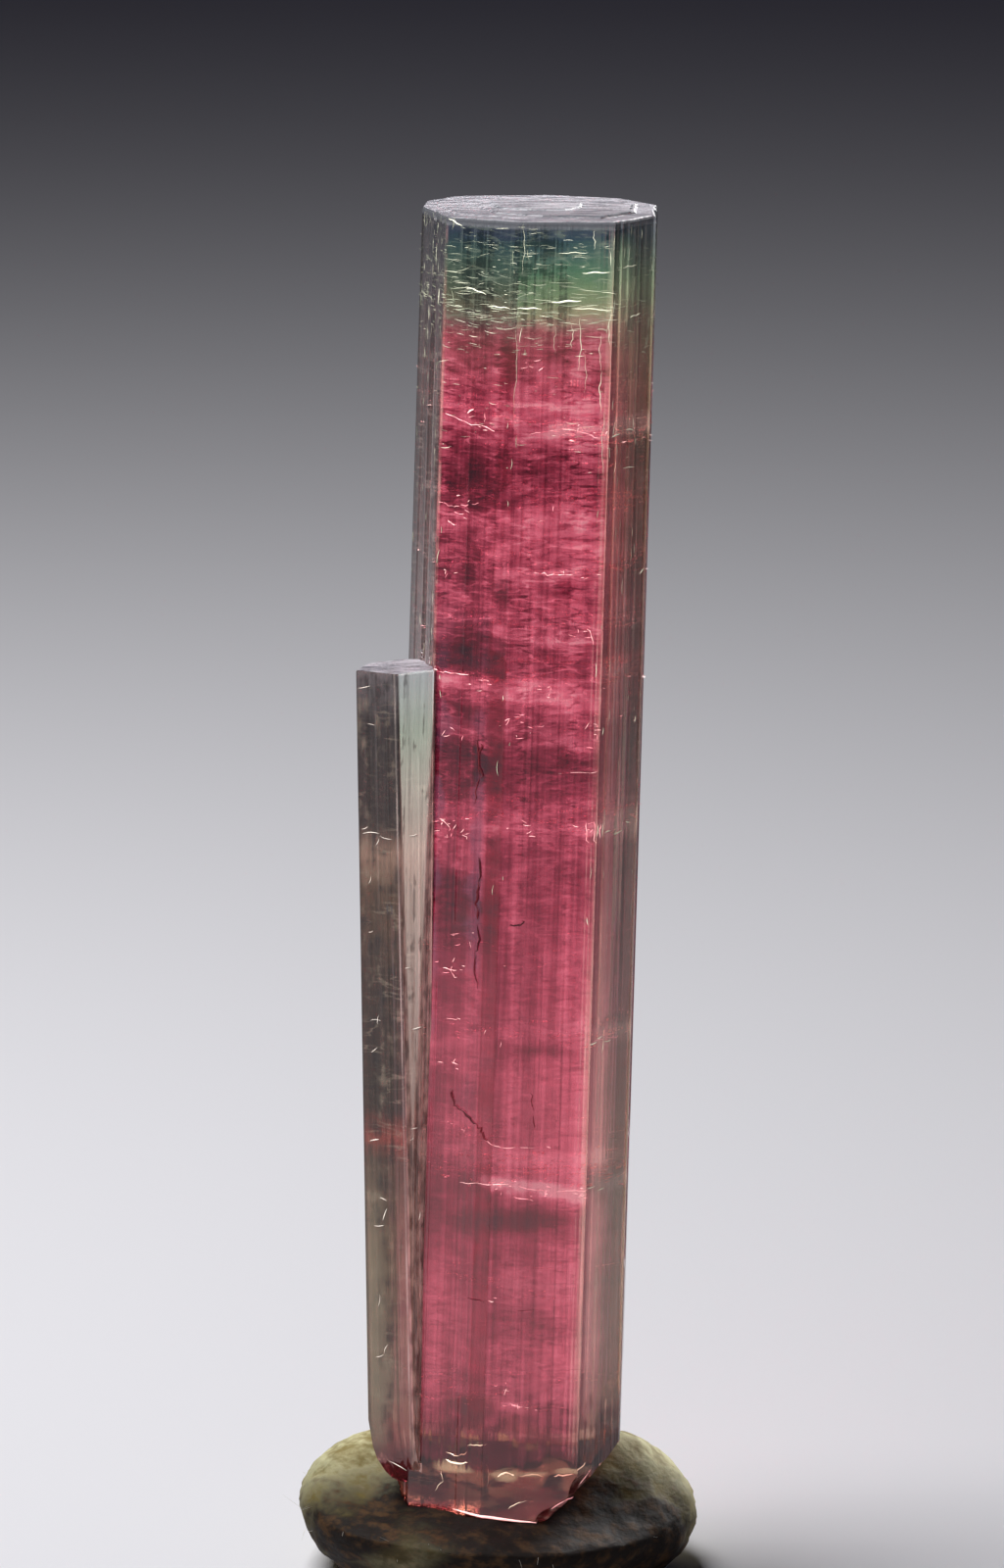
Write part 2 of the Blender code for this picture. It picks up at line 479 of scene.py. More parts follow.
def marked(mesh, name, pieces, reach):
    # a number on each face: 1 where the face came from one of these pieces, 0 elsewhere
    trees = []
    for piece in pieces:
        bm = bmesh.new()
        bm.from_mesh(piece.data)
        bm.transform(piece.matrix_world)
        trees.append(BVHTree.FromBMesh(bm))
        bm.free()
    shares = []
    for face in mesh.polygons:
        near = [tree.find_nearest(face.center, reach)[0] for tree in trees]
        shares.append(1.0 if any(place is not None for place in near) else 0.0)
    layer = mesh.attributes.new(name, "FLOAT", "FACE")
    layer.data.foreach_set("value", shares)


def makeCrystal():
    made = addObject("crystalBody", crystalMesh(), body=None)
    made.matrix_world = millimetres(ownFrame(crystal))
    side = looseObject("side", sideMesh(), millimetres(ownFrame(sideCrystal)))
    cutters = [
        footChip(),
        scoop((2.15, -4.75, -0.35), 1.35),
        scoop((3.70, -4.30, 1.05), 1.30),
        scoop((-4.40, -3.15, -0.45), 1.10),
    ]
    boolean(made, side, "UNION")
    for cutter in cutters:
        boolean(made, cutter, "DIFFERENCE")
    settle(made)
    made.data.transform(made.matrix_world)
    made.matrix_world = Matrix.Identity(4)
    bpy.context.view_layer.update()
    touching = 0.004 * mm
    marked(made.data, "sideShare", [side], touching)
    marked(made.data, "brokenShare", cutters, touching)
    for cutter in [side, *cutters]:
        bpy.data.objects.remove(cutter)
    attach(made, "root")
    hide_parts("tourmaline_crystal")
    made.data.shade_smooth()
    made.data.set_sharp_from_angle(angle=math.radians(crystal["sharpAngle"]))
    print("crystal:", len(made.data.polygons), "faces")
    return made


# Colours of the crystal, as height above its foot, red, green and blue. A glow is a
# height and a brightness, and the pinks give the colour of each brightness. The glows are
# painted light and shade over the crystal's own pink: bright bands where cracks inside catch the
# light, dark ones between.

bodyColours = {
    "pinks": [
        (-0.3, 46, 14, 26), (0.0, 90, 14, 32), (0.25, 138, 39, 61), (0.5, 190, 75, 97),
        (0.75, 228, 109, 131), (1.0, 246, 152, 164),
    ],
    "leftGlow": [
        (3.5, 0.14), (4.6, 0.34), (8.6, 0.42), (11.0, 0.24), (11.7, 0.15), (12.9, 0.26),
        (15.4, 0.44), (16.3, 0.3), (18.6, 0.5), (20.2, 0.35), (21.5, 0.37), (23.4, 0.18),
        (24.3, 0.1), (25.4, 0.5), (26.6, 0.46), (27.5, 0.5), (28.6, 0.12), (30.0, 0.09),
        (30.7, 0.46), (31.5, 0.18), (31.9, 0.46), (32.35, 0.7), (33.0, -0.1), (34.0, 0.28),
        (35.2, 0.47), (36.0, 0.28), (37.3, 0.3), (38.5, 0.66), (39.3, 0.1), (40.3, 0.26),
        (41.2, 0.36), (41.8, 0.5), (43.4, 0.54), (45.5, 0.36),
    ],
    "rightGlow": [
        (3.5, 0.16), (4.2, 0.3), (5.0, 0.44), (7.0, 0.38), (8.0, 0.22), (9.5, 0.54), (10.6, 0.36),
        (11.2, 0.32), (11.9, 0.1), (12.6, 0.36), (13.1, 0.9), (13.7, 0.52), (14.6, 0.56),
        (15.1, 0.43), (17.5, 0.5), (18.6, 0.34), (19.4, 0.53), (21.0, 0.36), (22.3, 0.4),
        (24.6, 0.32), (26.4, 0.36), (27.1, 0.52), (28.4, 0.28), (29.9, 0.2), (30.6, 0.52),
        (31.5, 0.46), (32.1, 0.88), (33.3, 0.3), (34.5, 0.56), (35.8, 0.42), (36.3, 0.46),
        (36.9, 0.72), (37.4, 0.5), (38.1, 0.62), (38.8, 0.76), (39.5, 0.36), (40.8, 0.26),
        (41.4, 0.4), (42.1, 0.82), (42.6, 0.7), (43.0, 0.8), (43.6, 0.62), (45.5, 0.52),
    ],
    "cap": [
        (45.3, 166, 100, 102), (46.0, 180, 148, 132), (46.5, 172, 172, 134), (47.1, 130, 156, 116),
        (47.9, 94, 134, 106), (48.6, 92, 124, 110), (49.2, 66, 88, 100), (49.9, 74, 82, 102),
    ],
    # the cap on the left panel, darker by painted shade
    "shadedLeftCap": [
        (45.3, 140, 88, 92), (46.0, 124, 96, 92), (46.6, 112, 108, 88), (47.4, 84, 96, 80),
        (48.2, 70, 92, 84), (48.8, 62, 84, 86), (49.3, 58, 70, 86), (49.9, 76, 80, 96),
    ],
    "rightRim": [
        (0.0, 176, 104, 98), (4.0, 228, 172, 156), (7.0, 255, 212, 192), (19.0, 238, 190, 172),
        (24.0, 190, 130, 122), (31.0, 176, 104, 98), (38.0, 198, 114, 106), (41.3, 216, 134, 122),
        (42.1, 250, 166, 156), (43.3, 226, 154, 142), (45.0, 238, 190, 162), (46.3, 255, 246, 202),
        (47.5, 236, 255, 208), (48.5, 184, 212, 174), (49.4, 76, 92, 104),
    ],
    "rightEdge": [
        (0.0, 140, 92, 82), (3.4, 178, 138, 122), (4.8, 190, 164, 142), (15.0, 160, 142, 120),
        (20.0, 156, 134, 124), (31.0, 134, 112, 104), (36.0, 134, 106, 98), (38.0, 134, 106, 90),
        (41.0, 152, 122, 102), (45.0, 176, 164, 134), (47.5, 172, 190, 158), (49.2, 124, 136, 146),
    ],
    "leftRim": shade(112, 100, 98),
    "footPale": shade(136, 72, 56),
    "footDeep": shade(52, 12, 14),
    "footLight": (230, 184, 146),
    "footDark": (46, 8, 12),
}

sideColours = {
    "frontLeft": [
        (0.0, 132, 56, 54), (2.4, 126, 70, 64), (3.6, 122, 98, 84), (9.0, 104, 82, 62),
        (13.0, 76, 50, 38), (13.8, 132, 56, 46), (15.0, 52, 36, 26), (20.0, 58, 40, 30),
        (23.6, 90, 66, 48), (24.8, 150, 118, 100), (26.0, 48, 33, 28), (30.0, 46, 36, 35),
        (31.9, 112, 104, 106),
    ],
    "frontRight": [
        (0.0, 150, 72, 70), (3.0, 176, 112, 106), (10.0, 206, 156, 148), (15.0, 226, 190, 178),
        (20.0, 240, 214, 202), (24.6, 255, 226, 212), (27.5, 252, 244, 226), (29.6, 232, 246, 224),
        (31.9, 226, 234, 234),
    ],
}


def byHeight(paint, height, rows, low=0.0, high=crystal["length"]):
    # a ramp between two heights, of colours or of brightness
    stops = []
    for at, *value in rows:
        tone = shade(*value) if len(value) == 3 else value * 3
        stops.append(((at - low) / (high - low), tone))
    above = height - low if low else height
    return paint.ramp(above / (high - low), stops)


def profile(paint, height, rows):
    # brightness by height; a ramp holds 32 stops, so a long list is split in two
    middle = len(rows) // 2
    edge = rows[middle][0]
    lower = byHeight(paint, height, rows[:middle + 1])
    upper = byHeight(paint, height, rows[middle:])
    return paint.grey(paint.mix(lower, upper, height.over(edge - 0.001, edge + 0.001)))


# Painted light and shade on the pink, paler and darker places: across, height, half width, half
# height, how much
bodyLightAndShadeSpots = [
    (1.75, 34.4, 1.1, 0.5, 0.34), (1.0, 36.8, 1.6, 0.14, 0.2), (0.0, 32.35, 1.2, 0.45, 0.2),
    (2.2, 32.2, 0.8, 0.5, -0.16), (-2.6, 32.5, 1.0, 0.25, 0.25), (2.3, 27.1, 0.9, 0.26, 0.34),
    (1.2, 13.15, 2.0, 0.28, 0.4), (1.6, 42.15, 1.4, 0.22, 0.25), (0.3, 43.0, 1.6, 0.16, 0.22),
    (-0.3, 24.0, 0.35, 1.2, 0.14), (-1.6, 42.35, 1.2, 0.25, 0.25), (-1.0, 13.3, 0.6, 0.3, 0.62),
    (-1.1, 27.1, 0.35, 0.4, 0.44), (-2.2, 33.75, 1.3, 0.6, -0.2), (-2.6, 40.3, 1.0, 0.7, -0.18),
    (0.1, 12.0, 2.1, 0.42, -0.26), (-1.05, 44.6, 0.3, 1.3, -0.4), (-1.05, 40.6, 0.35, 0.8, -0.14),
    (-1.05, 34.5, 0.3, 0.35, 0.34), (-1.1, 35.7, 0.35, 0.35, -0.4), (-1.05, 32.1, 0.3, 0.25, 0.24),
    (-1.1, 38.3, 0.4, 0.4, -0.36), (-1.1, 26.0, 0.35, 0.3, -0.16), (-1.1, 36.3, 0.4, 0.3, -0.22),
    (-1.0, 42.8, 0.35, 0.35, 0.1), (2.3, 30.0, 0.6, 0.5, 0.12), (-2.9, 30.7, 0.8, 0.4, 0.12),
    (-1.75, 29.4, 0.26, 0.9, -0.5), (1.3, 29.6, 1.2, 0.7, -0.14), (-1.62, 24.6, 0.16, 1.3, -0.45),
    (0.9, 18.5, 1.4, 0.22, -0.2), (-1.2, 4.5, 1.0, 0.4, -0.4), (0.3, 4.6, 0.7, 0.3, 0.22),
    (2.1, 22.0, 0.8, 3.0, 0.08),
]

footSpots = [
    (-1.85, 2.05, 0.7, 0.26, 0.85), (0.1, 1.92, 0.5, 0.22, 0.9), (1.1, 1.95, 0.5, 0.1, 0.6),
    (2.6, 2.0, 0.7, 0.14, 0.7), (-1.0, 2.95, 0.5, 0.08, 0.6), (-0.6, 1.6, 0.12, 0.9, -0.7),
    (-3.0, 2.3, 0.35, 0.8, -0.6), (1.2, 2.6, 1.4, 0.28, -0.6), (-1.7, 2.85, 0.6, 0.22, -0.5),
    (-1.5, 1.0, 1.2, 0.4, -0.5), (-2.8, 0.6, 0.9, 0.5, -0.7), (-0.6, 0.7, 1.3, 0.24, -0.4),
    (1.2, 1.1, 1.2, 0.4, -0.5),
]

# Painted highlights, pale lines up the front right corner where its edges catch the light: across,
# half width, brightness
cornerHighlights = [
    (2.46, 0.035, 0.5), (2.62, 0.04, 0.7), (2.8, 0.045, 0.9), (2.96, 0.03, 0.5), (3.14, 0.05, 0.8),
    (3.62, 0.04, 0.35),
]


def crystalPaint():
    paint = Paint("tourmaline")
    x, y, z = paint.axes()
    foot = crystal["foot"]
    height = z - foot.z
    across = x - foot.x - height * math.tan(crystal["lean"])
    across = across / (1 - height * (1 - crystal["topScale"]) / crystal["length"])

    def layer(sidewise, upward, shift, detail=1.0, rough=0.55):
        # noise about 0, stretched sideways or upwards by the two scales
        flat = across * sidewise + shift, y * sidewise - shift
        return paint.noise(paint.vector(*flat, height * upward + shift), detail, rough) - 0.5

    slow = layer(0.33, 0.9, 0.0)
    place = paint.vector(across * 1.05 + slow * 3.0, y * 0.9, (height + slow) * 3.9)
    wisps = paint.noise(place, 3.0, 0.70) - 0.5
    threads = layer(1.6, 14.0, 7.0)
    grain = layer(8.0, 0.12, 3.0)
    curtain = layer(1.6, 0.04, 11.0, 0.0)
    patches = layer(0.6, 0.7, 23.0, 0.0)
    blotches = layer(1.1, 1.5, 71.0)

    def outlines(sidewise, upward, shift, thin):
        # the thin wavy edges of sheets that lie nearly flat
        return abs(layer(sidewise, upward, shift, 2.0, 0.6) + slow * 0.2).under(0.0, thin)

    edges = outlines(0.42, 2.1, 31.0, 0.028) * patches.over(-0.06, 0.12)
    fineEdges = outlines(1.0, 5.5, 47.0, 0.040) * (0 - patches).over(-0.06, 0.12)
    darkEdges = outlines(0.5, 2.6, 59.0, 0.040) * curtain.over(-0.12, 0.10)
    allEdges = edges + fineEdges

    # the brightness of the pink, painted light and shade: its two panels, the left one darker, then
    # noise, then single spots
    wavy = height + slow * 0.9 + across * 0.05
    # the edge between the panels steps to the left between these heights
    step = height.over(33.4, 33.9) * height.under(39.6, 40.2)
    split = (across + wisps * 0.06 + step * 0.58).over(-0.86, -0.78)
    leftGlow = profile(paint, wavy, bodyColours["leftGlow"])
    glow = paint.grey(paint.mix(leftGlow, profile(paint, wavy, bodyColours["rightGlow"]), split))
    busy = 0.42 + height.over(20.0, 34.0) * 0.58
    glow = glow + (wisps + threads * 0.22 + blotches * 0.60) * busy
    glow = glow + grain * 0.50 + curtain * 0.60
    glow = glow + (edges * 0.30 + fineEdges * 0.26 - darkEdges * 0.34) * busy - 0.055
    uneven = 0.75 + wisps * 1.5 + blotches
    frayedAcross = across + slow * 0.7 + blotches * 0.5
    frayedHeight = height + slow * 0.5 + wisps * 0.45

    def spot(acrossAt, heightAt, halfWide, halfHigh):
        sideways = (frayedAcross - acrossAt) / halfWide
        upright = (frayedHeight - heightAt) / halfHigh
        return (sideways * sideways + upright * upright).under(0.0, 1.7)

    spots = 0
    for *where, amount in bodyLightAndShadeSpots:
        spots = spot(*where) * amount + spots
    glow = glow + spots * uneven

    # upright panels: painted shade makes some a little darker, and painted highlights run along
    # their edges
    strip = across.over(-1.50, -1.38) * (1 - split)
    stripDark = 0.05 + height.under(10.0, 14.0) * 0.07 + height.near(24.5, 1.5, 4.0) * 0.10
    panelEdge = (across + threads * 0.05).near(-0.72, 0.0, 0.09)
    glow = glow - strip * stripDark + panelEdge * (0.10 + grain * 0.5)
    glow = glow + across.near(-1.42, 0.0, 0.05) * height.under(26.0, 28.0) * 0.14
    glow = glow + (across + grain * 0.3).over(1.75, 1.80) * height.under(26.0, 29.0) * 0.05

    mauve = (patches + wisps * 0.4 + curtain).over(-0.06, 0.20)
    mauve = mauve * across.under(-1.65, -1.40) * height.near(26.0, 3.0, 12.0)
    wine = strip * (1 - height.over(30.0, 44.0) * 0.6) * (0.34 + blotches + wisps * 0.5)
    # painted shade in the nook beside the grown-on crystal, low down
    shadeBesideIt = (0 - across + grain * 0.3).over(3.00, 3.45) * height.under(13.0, 16.0)
    pink = paint.coats(
        byHeight(paint, glow, bodyColours["pinks"], -0.3, 1.0),
        ((156, 112, 104), height.under(14.0, 26.0) * 0.10 + height.over(42.8, 45.4) * 0.26),
        ((104, 62, 84), mauve * 0.55),
        ((126, 0, 26), wine),
        ((92, 46, 46), shadeBesideIt * 0.55),
    )

    # blue over green over cream, with pale flecks
    capHeight = height + slow * 1.2 + wisps * 0.9
    capRight = byHeight(paint, capHeight, bodyColours["cap"], 45.0, 50.0)
    # the left panel's cap is darkened by painted shade
    shadedCapLeft = byHeight(paint, capHeight, bodyColours["shadedLeftCap"], 45.0, 50.0)
    capDark = (0 - wisps * 0.8 - curtain - grain - blotches).over(0.02, 0.26)
    speckle = (allEdges + (wisps + threads).over(0.12, 0.34)) * 0.30 + grain.over(0.10, 0.24) * 0.22
    etched = (height + wisps * 0.8 + grain * 0.9).over(49.1, 50.0)
    capShades = paint.coats(
        paint.mix(shadedCapLeft, capRight, split),
        ((22, 30, 34), capDark * 0.62),
        ((176, 190, 164), speckle),
        ((92, 96, 112), etched * 0.7),
    )
    colour = paint.mix(pink, capShades, capHeight.over(45.2, 46.4))

    # the narrow faces turn olive brown, with pale lines along them painted as reflections of their
    # striations
    lines = (grain + curtain * 0.6).over(0.04, 0.22)
    gloom = (0 - grain - curtain * 0.5).over(0.02, 0.22)
    deeper = 0.09 + height.over(12.0, 26.0) * 0.46 - height.over(42.5, 45.5) * 0.44
    # painted glints: pale bands across the narrow faces where the body's bright bands meet them
    pale = (height + slow * 1.2 + grain).near(27.1, 0.1, 0.7)
    pale = pale + (height + slow + grain).near(18.9, 0.1, 0.5)
    pale = pale + (height + slow).near(42.2, 0.1, 0.5) * 1.2
    pale = pale + (height + slow * 0.5).near(13.1, 0.05, 0.4) * 0.8
    pale = pale + (edges + fineEdges * 0.6) * 0.4
    rightRim = byHeight(paint, height, bodyColours["rightRim"])
    olive = byHeight(paint, height, bodyColours["rightEdge"])
    rightRim = paint.coats(
        paint.mix(rightRim, olive, (across + slow * 0.8).over(3.1, 3.9)),
        ((232, 210, 188), lines * 0.42),
        ((46, 38, 28), gloom * deeper),
        ((236, 206, 186), pale * (0.55 + lines * 0.35)),
    )
    frayed = y + blotches + grain
    atFront = 1 - frayed.over(-2.3, -0.9) * 0.75
    colour = paint.mix(colour, rightRim, (across + grain * 0.5).over(2.45, 3.25) * atFront)
    leftRim = paint.coats(
        bodyColours["leftRim"],
        ((226, 218, 214), lines * 0.50),
        ((26, 22, 24), (gloom + (wisps + curtain).over(0.02, 0.2)) * 0.5),
        ((196, 176, 168), allEdges * 0.4),
        ((70, 78, 90), height.over(43.0, 48.5) * 0.55),
    )
    leftFront = 1 - frayed.over(0.5, 1.8) * 0.75
    colour = paint.mix(colour, leftRim, (0 - across + wisps * 0.1).over(3.60, 3.72) * leftFront)
    # painted shade on the side faces, seen edge on at either side
    sideFacesShade = across.over(4.46, 4.56) * atFront + (0 - across).over(4.46, 4.56) * leftFront
    # painted highlights down the front corners
    corners = across.near(-3.60, 0.0, 0.09)
    for lineAt, thin, bright in cornerHighlights:
        corners = corners + across.near(lineAt, 0.0, thin) * bright
    corners = corners * ((wisps + patches * 0.8).over(-0.16, 0.16) * 0.8 + 0.2)
    colour = paint.coats(
        colour,
        ((36, 30, 30), sideFacesShade * 0.75),
        ((246, 190, 180), corners * 0.62 * (1 - height.over(44.0, 46.0) * 0.5)),
    )

    # the broken foot is clear and brownish
    place = paint.vector(across * 0.9, y * 0.9, height * 1.3 + slow * 2.0)
    facets = paint.noise(place, 0.0) - 0.5
    footShare = (facets * 1.6 + wisps * 0.7).over(-0.08, 0.10)
    footShade = paint.coats(
        paint.mix(bodyColours["footPale"], bodyColours["footDeep"], footShare),
        ((136, 40, 44), (slow * 2.0 - height * 0.25 + 0.45 + wisps).over(0.0, 0.5) * 0.6),
        ((170, 104, 86), (allEdges + blotches.over(0.12, 0.22)) * 0.30),
    )
    for *where, amount in footSpots:
        tone = bodyColours["footLight" if amount > 0 else "footDark"]
        footShade = paint.coats(footShade, (tone, spot(*where) * abs(amount)))
    lowest = (height + wisps * 2.4 + blotches * 4.0 + grain * 3.5).under(2.8, 4.6)
    colour = paint.coats(colour, ((88, 18, 30), lowest * 0.80))
    footTop = height + slow * 1.2 + facets * 2.0 + blotches * 2.0 + grain * 1.6
    colour = paint.mix(footShade, colour, footTop.over(2.4, 3.0))

    # the crystal grown onto the left of it
    side = sideCrystal
    sideHeight = z - side["foot"].z
    sideAcross = x - side["foot"].x - sideHeight * math.tan(side["lean"])
    smoke = paint.noise(paint.vector(x * 2.4, y * 2.4, z * 1.1), 2.0, 0.6) - 0.5
    smoky = (smoke + grain * 0.4 + blotches * 0.7 + wisps * 0.2).over(-0.08, 0.30)
    cloudy = (0 - smoke + wisps * 0.3 - blotches * 0.5).over(0.06, 0.34)
    lowDown = sideHeight.under(8.0, 15.0)
    seam = (sideAcross + sideHeight * 0.004).near(0.58, 0.0, 0.05) * (lines * 0.5 + 0.3)
    frontLeft = paint.coats(
        byHeight(paint, sideHeight, sideColours["frontLeft"], high=side["length"]),
        ((34, 24, 22), smoky * 0.75),
        ((178, 160, 138), cloudy * 0.34),
        ((188, 172, 148), (edges + fineEdges * 0.3) * 0.24),
        ((150, 140, 116), lowDown * (sideAcross + smoke * 0.6).under(-0.7, -0.1) * 0.55),
        ((146, 92, 86), lowDown * (sideAcross + smoke * 0.5).over(-0.2, 0.4) * 0.45),
        ((44, 32, 30), sideAcross.near(-0.98, 0.0, 0.10) * 0.6),
        ((206, 186, 176), seam),
        # the edge of its broken bottom, dark wine
        ((92, 30, 36), (sideHeight + wisps * 0.5).under(0.6, 2.2)),
    )
    # its right face is a bright wedge that narrows downwards
    wedge = (sideAcross + sideHeight * 0.0134 + grain * 0.06).over(0.98, 1.04)
    wedge = wedge * (sideAcross - sideHeight * 0.058 + grain * 0.10).under(0.05, 0.13)
    besideShare = (smoke + 0.5 + grain * 0.5).over(0.35, 0.65)
    besides = paint.mix(shade(108, 76, 70), shade(196, 150, 140), besideShare)
    frontRight = paint.coats(
        byHeight(paint, sideHeight, sideColours["frontRight"], high=side["length"]),
        ((70, 50, 48), (smoke + grain * 0.8 + wisps * 0.3).over(0.12, 0.26) * 0.6),
    )
    frontRight = paint.mix(besides, frontRight, wedge)
    onRight = (sideAcross + grain * 0.05).over(0.56, 0.66) * (0 - y).over(1.9, 2.3)
    sideColour = paint.mix(frontLeft, frontRight, onRight)
    colour = paint.mix(colour, sideColour, paint.faceNumber("sideShare"))

    # etched flat tops, and the worn edge round the higher one; painted shade darkens that edge and
    # the front of the top
    upward = paint.node("ShaderNodeNewGeometry", None, None, out=1)
    facing = paint.node("ShaderNodeSeparateXYZ", None, {0: upward}, out=2)
    flatTop = facing.over(0.7, 0.9) * height.over(20.0, 26.0)
    etch = paint.noise(paint.vector(x * 0.7, y * 7.0, z * 4.0), 2.0, 0.65)
    etchShare = (etch + grain * 0.3).over(0.40, 0.58)
    frontOfTopShade = (0 - y + (etch - 0.5) * 2.5 + blotches).over(0.9, 2.4) * height.over(40.0, 41.0)
    topShade = paint.coats(
        paint.mix(shade(88, 88, 104), shade(238, 236, 246), etchShare),
        ((92, 94, 108), frontOfTopShade * 0.62),
    )
    rim = height.over(49.4, 49.7) * (1 - flatTop)
    colour = paint.mix(paint.coats(colour, ((44, 48, 60), rim * 0.92)), topShade, flatTop)

    # shell-like breaks
    brokenShare = paint.faceNumber("brokenShare")
    shell = paint.noise(paint.vector(x * 2.2, y * 2.2, z * 3.2), 1.0, 0.6)
    broken = paint.mix(shade(150, 64, 66), shade(248, 190, 176), shell.over(0.45, 0.62))
    colour = paint.mix(colour, broken, brokenShare * 0.8)

    rough = 0.03 + abs(grain) * 0.10 + flatTop * 0.42 + rim * 0.80 + brokenShare * 0.06
    relief = grain + etch * flatTop * (5.0 - frontOfTopShade * 2.5)
    return paint.finish(
        {
            "Base Color": colour,
            "Roughness": rough,
            "IOR": 1.63,
            "Transmission Weight": 0.75,
            "Normal": paint.bump(relief, 0.35, 0.06 * mm),
        },
        volume={"Color": (0.90, 0.78, 0.76), "Density": 40.0},
    )


# Splinters, cracks and flakes inside the crystal, and pale flecks as painted glints, placed in its
# own frame in millimetres

class Slivers:
    def __init__(self, name, slot="tourmaline"):
        self.name = name
        self.slot = slot
        self.points = []
        self.faces = []
        self.shines = []  # how bright each face is, 0 to 1

    def sliver(self, path, outward, width, shine=1.0, thickness=0.35):
        # a closed splinter along the path, widest in the middle
        first = len(self.points)
        last = len(path) - 1
        for i, place in enumerate(path):
            ahead = (path[min(i + 1, last)] - path[max(i - 1, 0)]).normalized()
            aside = ahead.cross(outward).normalized()
            half = width / 2 * (0.06 + 0.94 * math.sin(math.pi * (i + 0.35) / (last + 0.7)))
            self.points += [
                place + aside * half,
                place + outward * half * thickness,
                place - aside * half,
                place - outward * half * thickness,
            ]
        for i in range(last):
            low = first + 4 * i
            for j in range(4):
                k = (j + 1) % 4
                self.faces.append((low + j, low + k, low + 4 + k, low + 4 + j))
        self.faces.append((first + 3, first + 2, first + 1, first))
        end = first + 4 * last
        self.faces.append((end, end + 1, end + 2, end + 3))
        self.shines += [shine] * (4 * last + 2)

    def flake(self, place, up, size, draw):
        # a small irregular scale, domed in the middle
        side = up.orthogonal().normalized()
        other = up.cross(side)
        first = len(self.points)
        count = draw.choice((5, 6, 7))
        turn = draw.uniform(0, math.tau)
        self.points.append(place + up * size * 0.12)
        for i in range(count):
            angle = turn + math.tau * i / count
            far = size * draw.uniform(0.35, 1.0)
            rim = side * math.cos(angle) + other * math.sin(angle) * 0.6
            self.points.append(place + rim * far)
        for i in range(count):
            self.faces.append((first, first + 1 + i, first + 1 + (i + 1) % count))
            self.shines.append(draw.random())

    def build(self, material, frame=None):
        place = frame or ownFrame(crystal)
        mesh = meshFrom(self.name, [(place @ p) * mm for p in self.points], self.faces)
        made = addObject(self.name, mesh)
        shine = mesh.attributes.new("shine", "FLOAT", "FACE")
        shine.data.foreach_set("value", self.shines)
        mesh.materials.append(material)
        print(f"{self.name}:", len(mesh.polygons), "faces")
        return made


def inside(x, y, margin):
    # is this point of a section within the crystal, by at least the margin
    point = Vector((x, y))
    for a, b in bodySides:
        along = (b - a).normalized()
        if (point - a).dot(Vector((-along.y, along.x))) < margin:
            return False
    return True


def onFront(across, height, depth):
    # a point this deep behind the two broad front faces
    left, middle, right, rim = bodyCorners[:4]
    if across < middle.x:
        a, b = left, middle
    elif across < right.x:
        a, b = middle, right
    else:
        a, b = right, rim
    share = (across - a.x) / (b.x - a.x)
    edge = a.lerp(b, share) * taper(height)
    return Vector((across, edge.y + depth, height))


def aroundAt(share, height, depth):
    # a point this deep behind the faces, all the way round, and the way out from it
    run = share * sum((b - a).length for a, b in bodySides)
    for a, b in bodySides:
        if run < (b - a).length:
            break
        run -= (b - a).length
    along = (b - a).normalized()
    outward = Vector((along.y, -along.x))
    place = (a + along * run) * taper(height) - outward * depth
    return Vector((*place, height)), Vector((*along, 0.0)), Vector((*outward, 0.0))


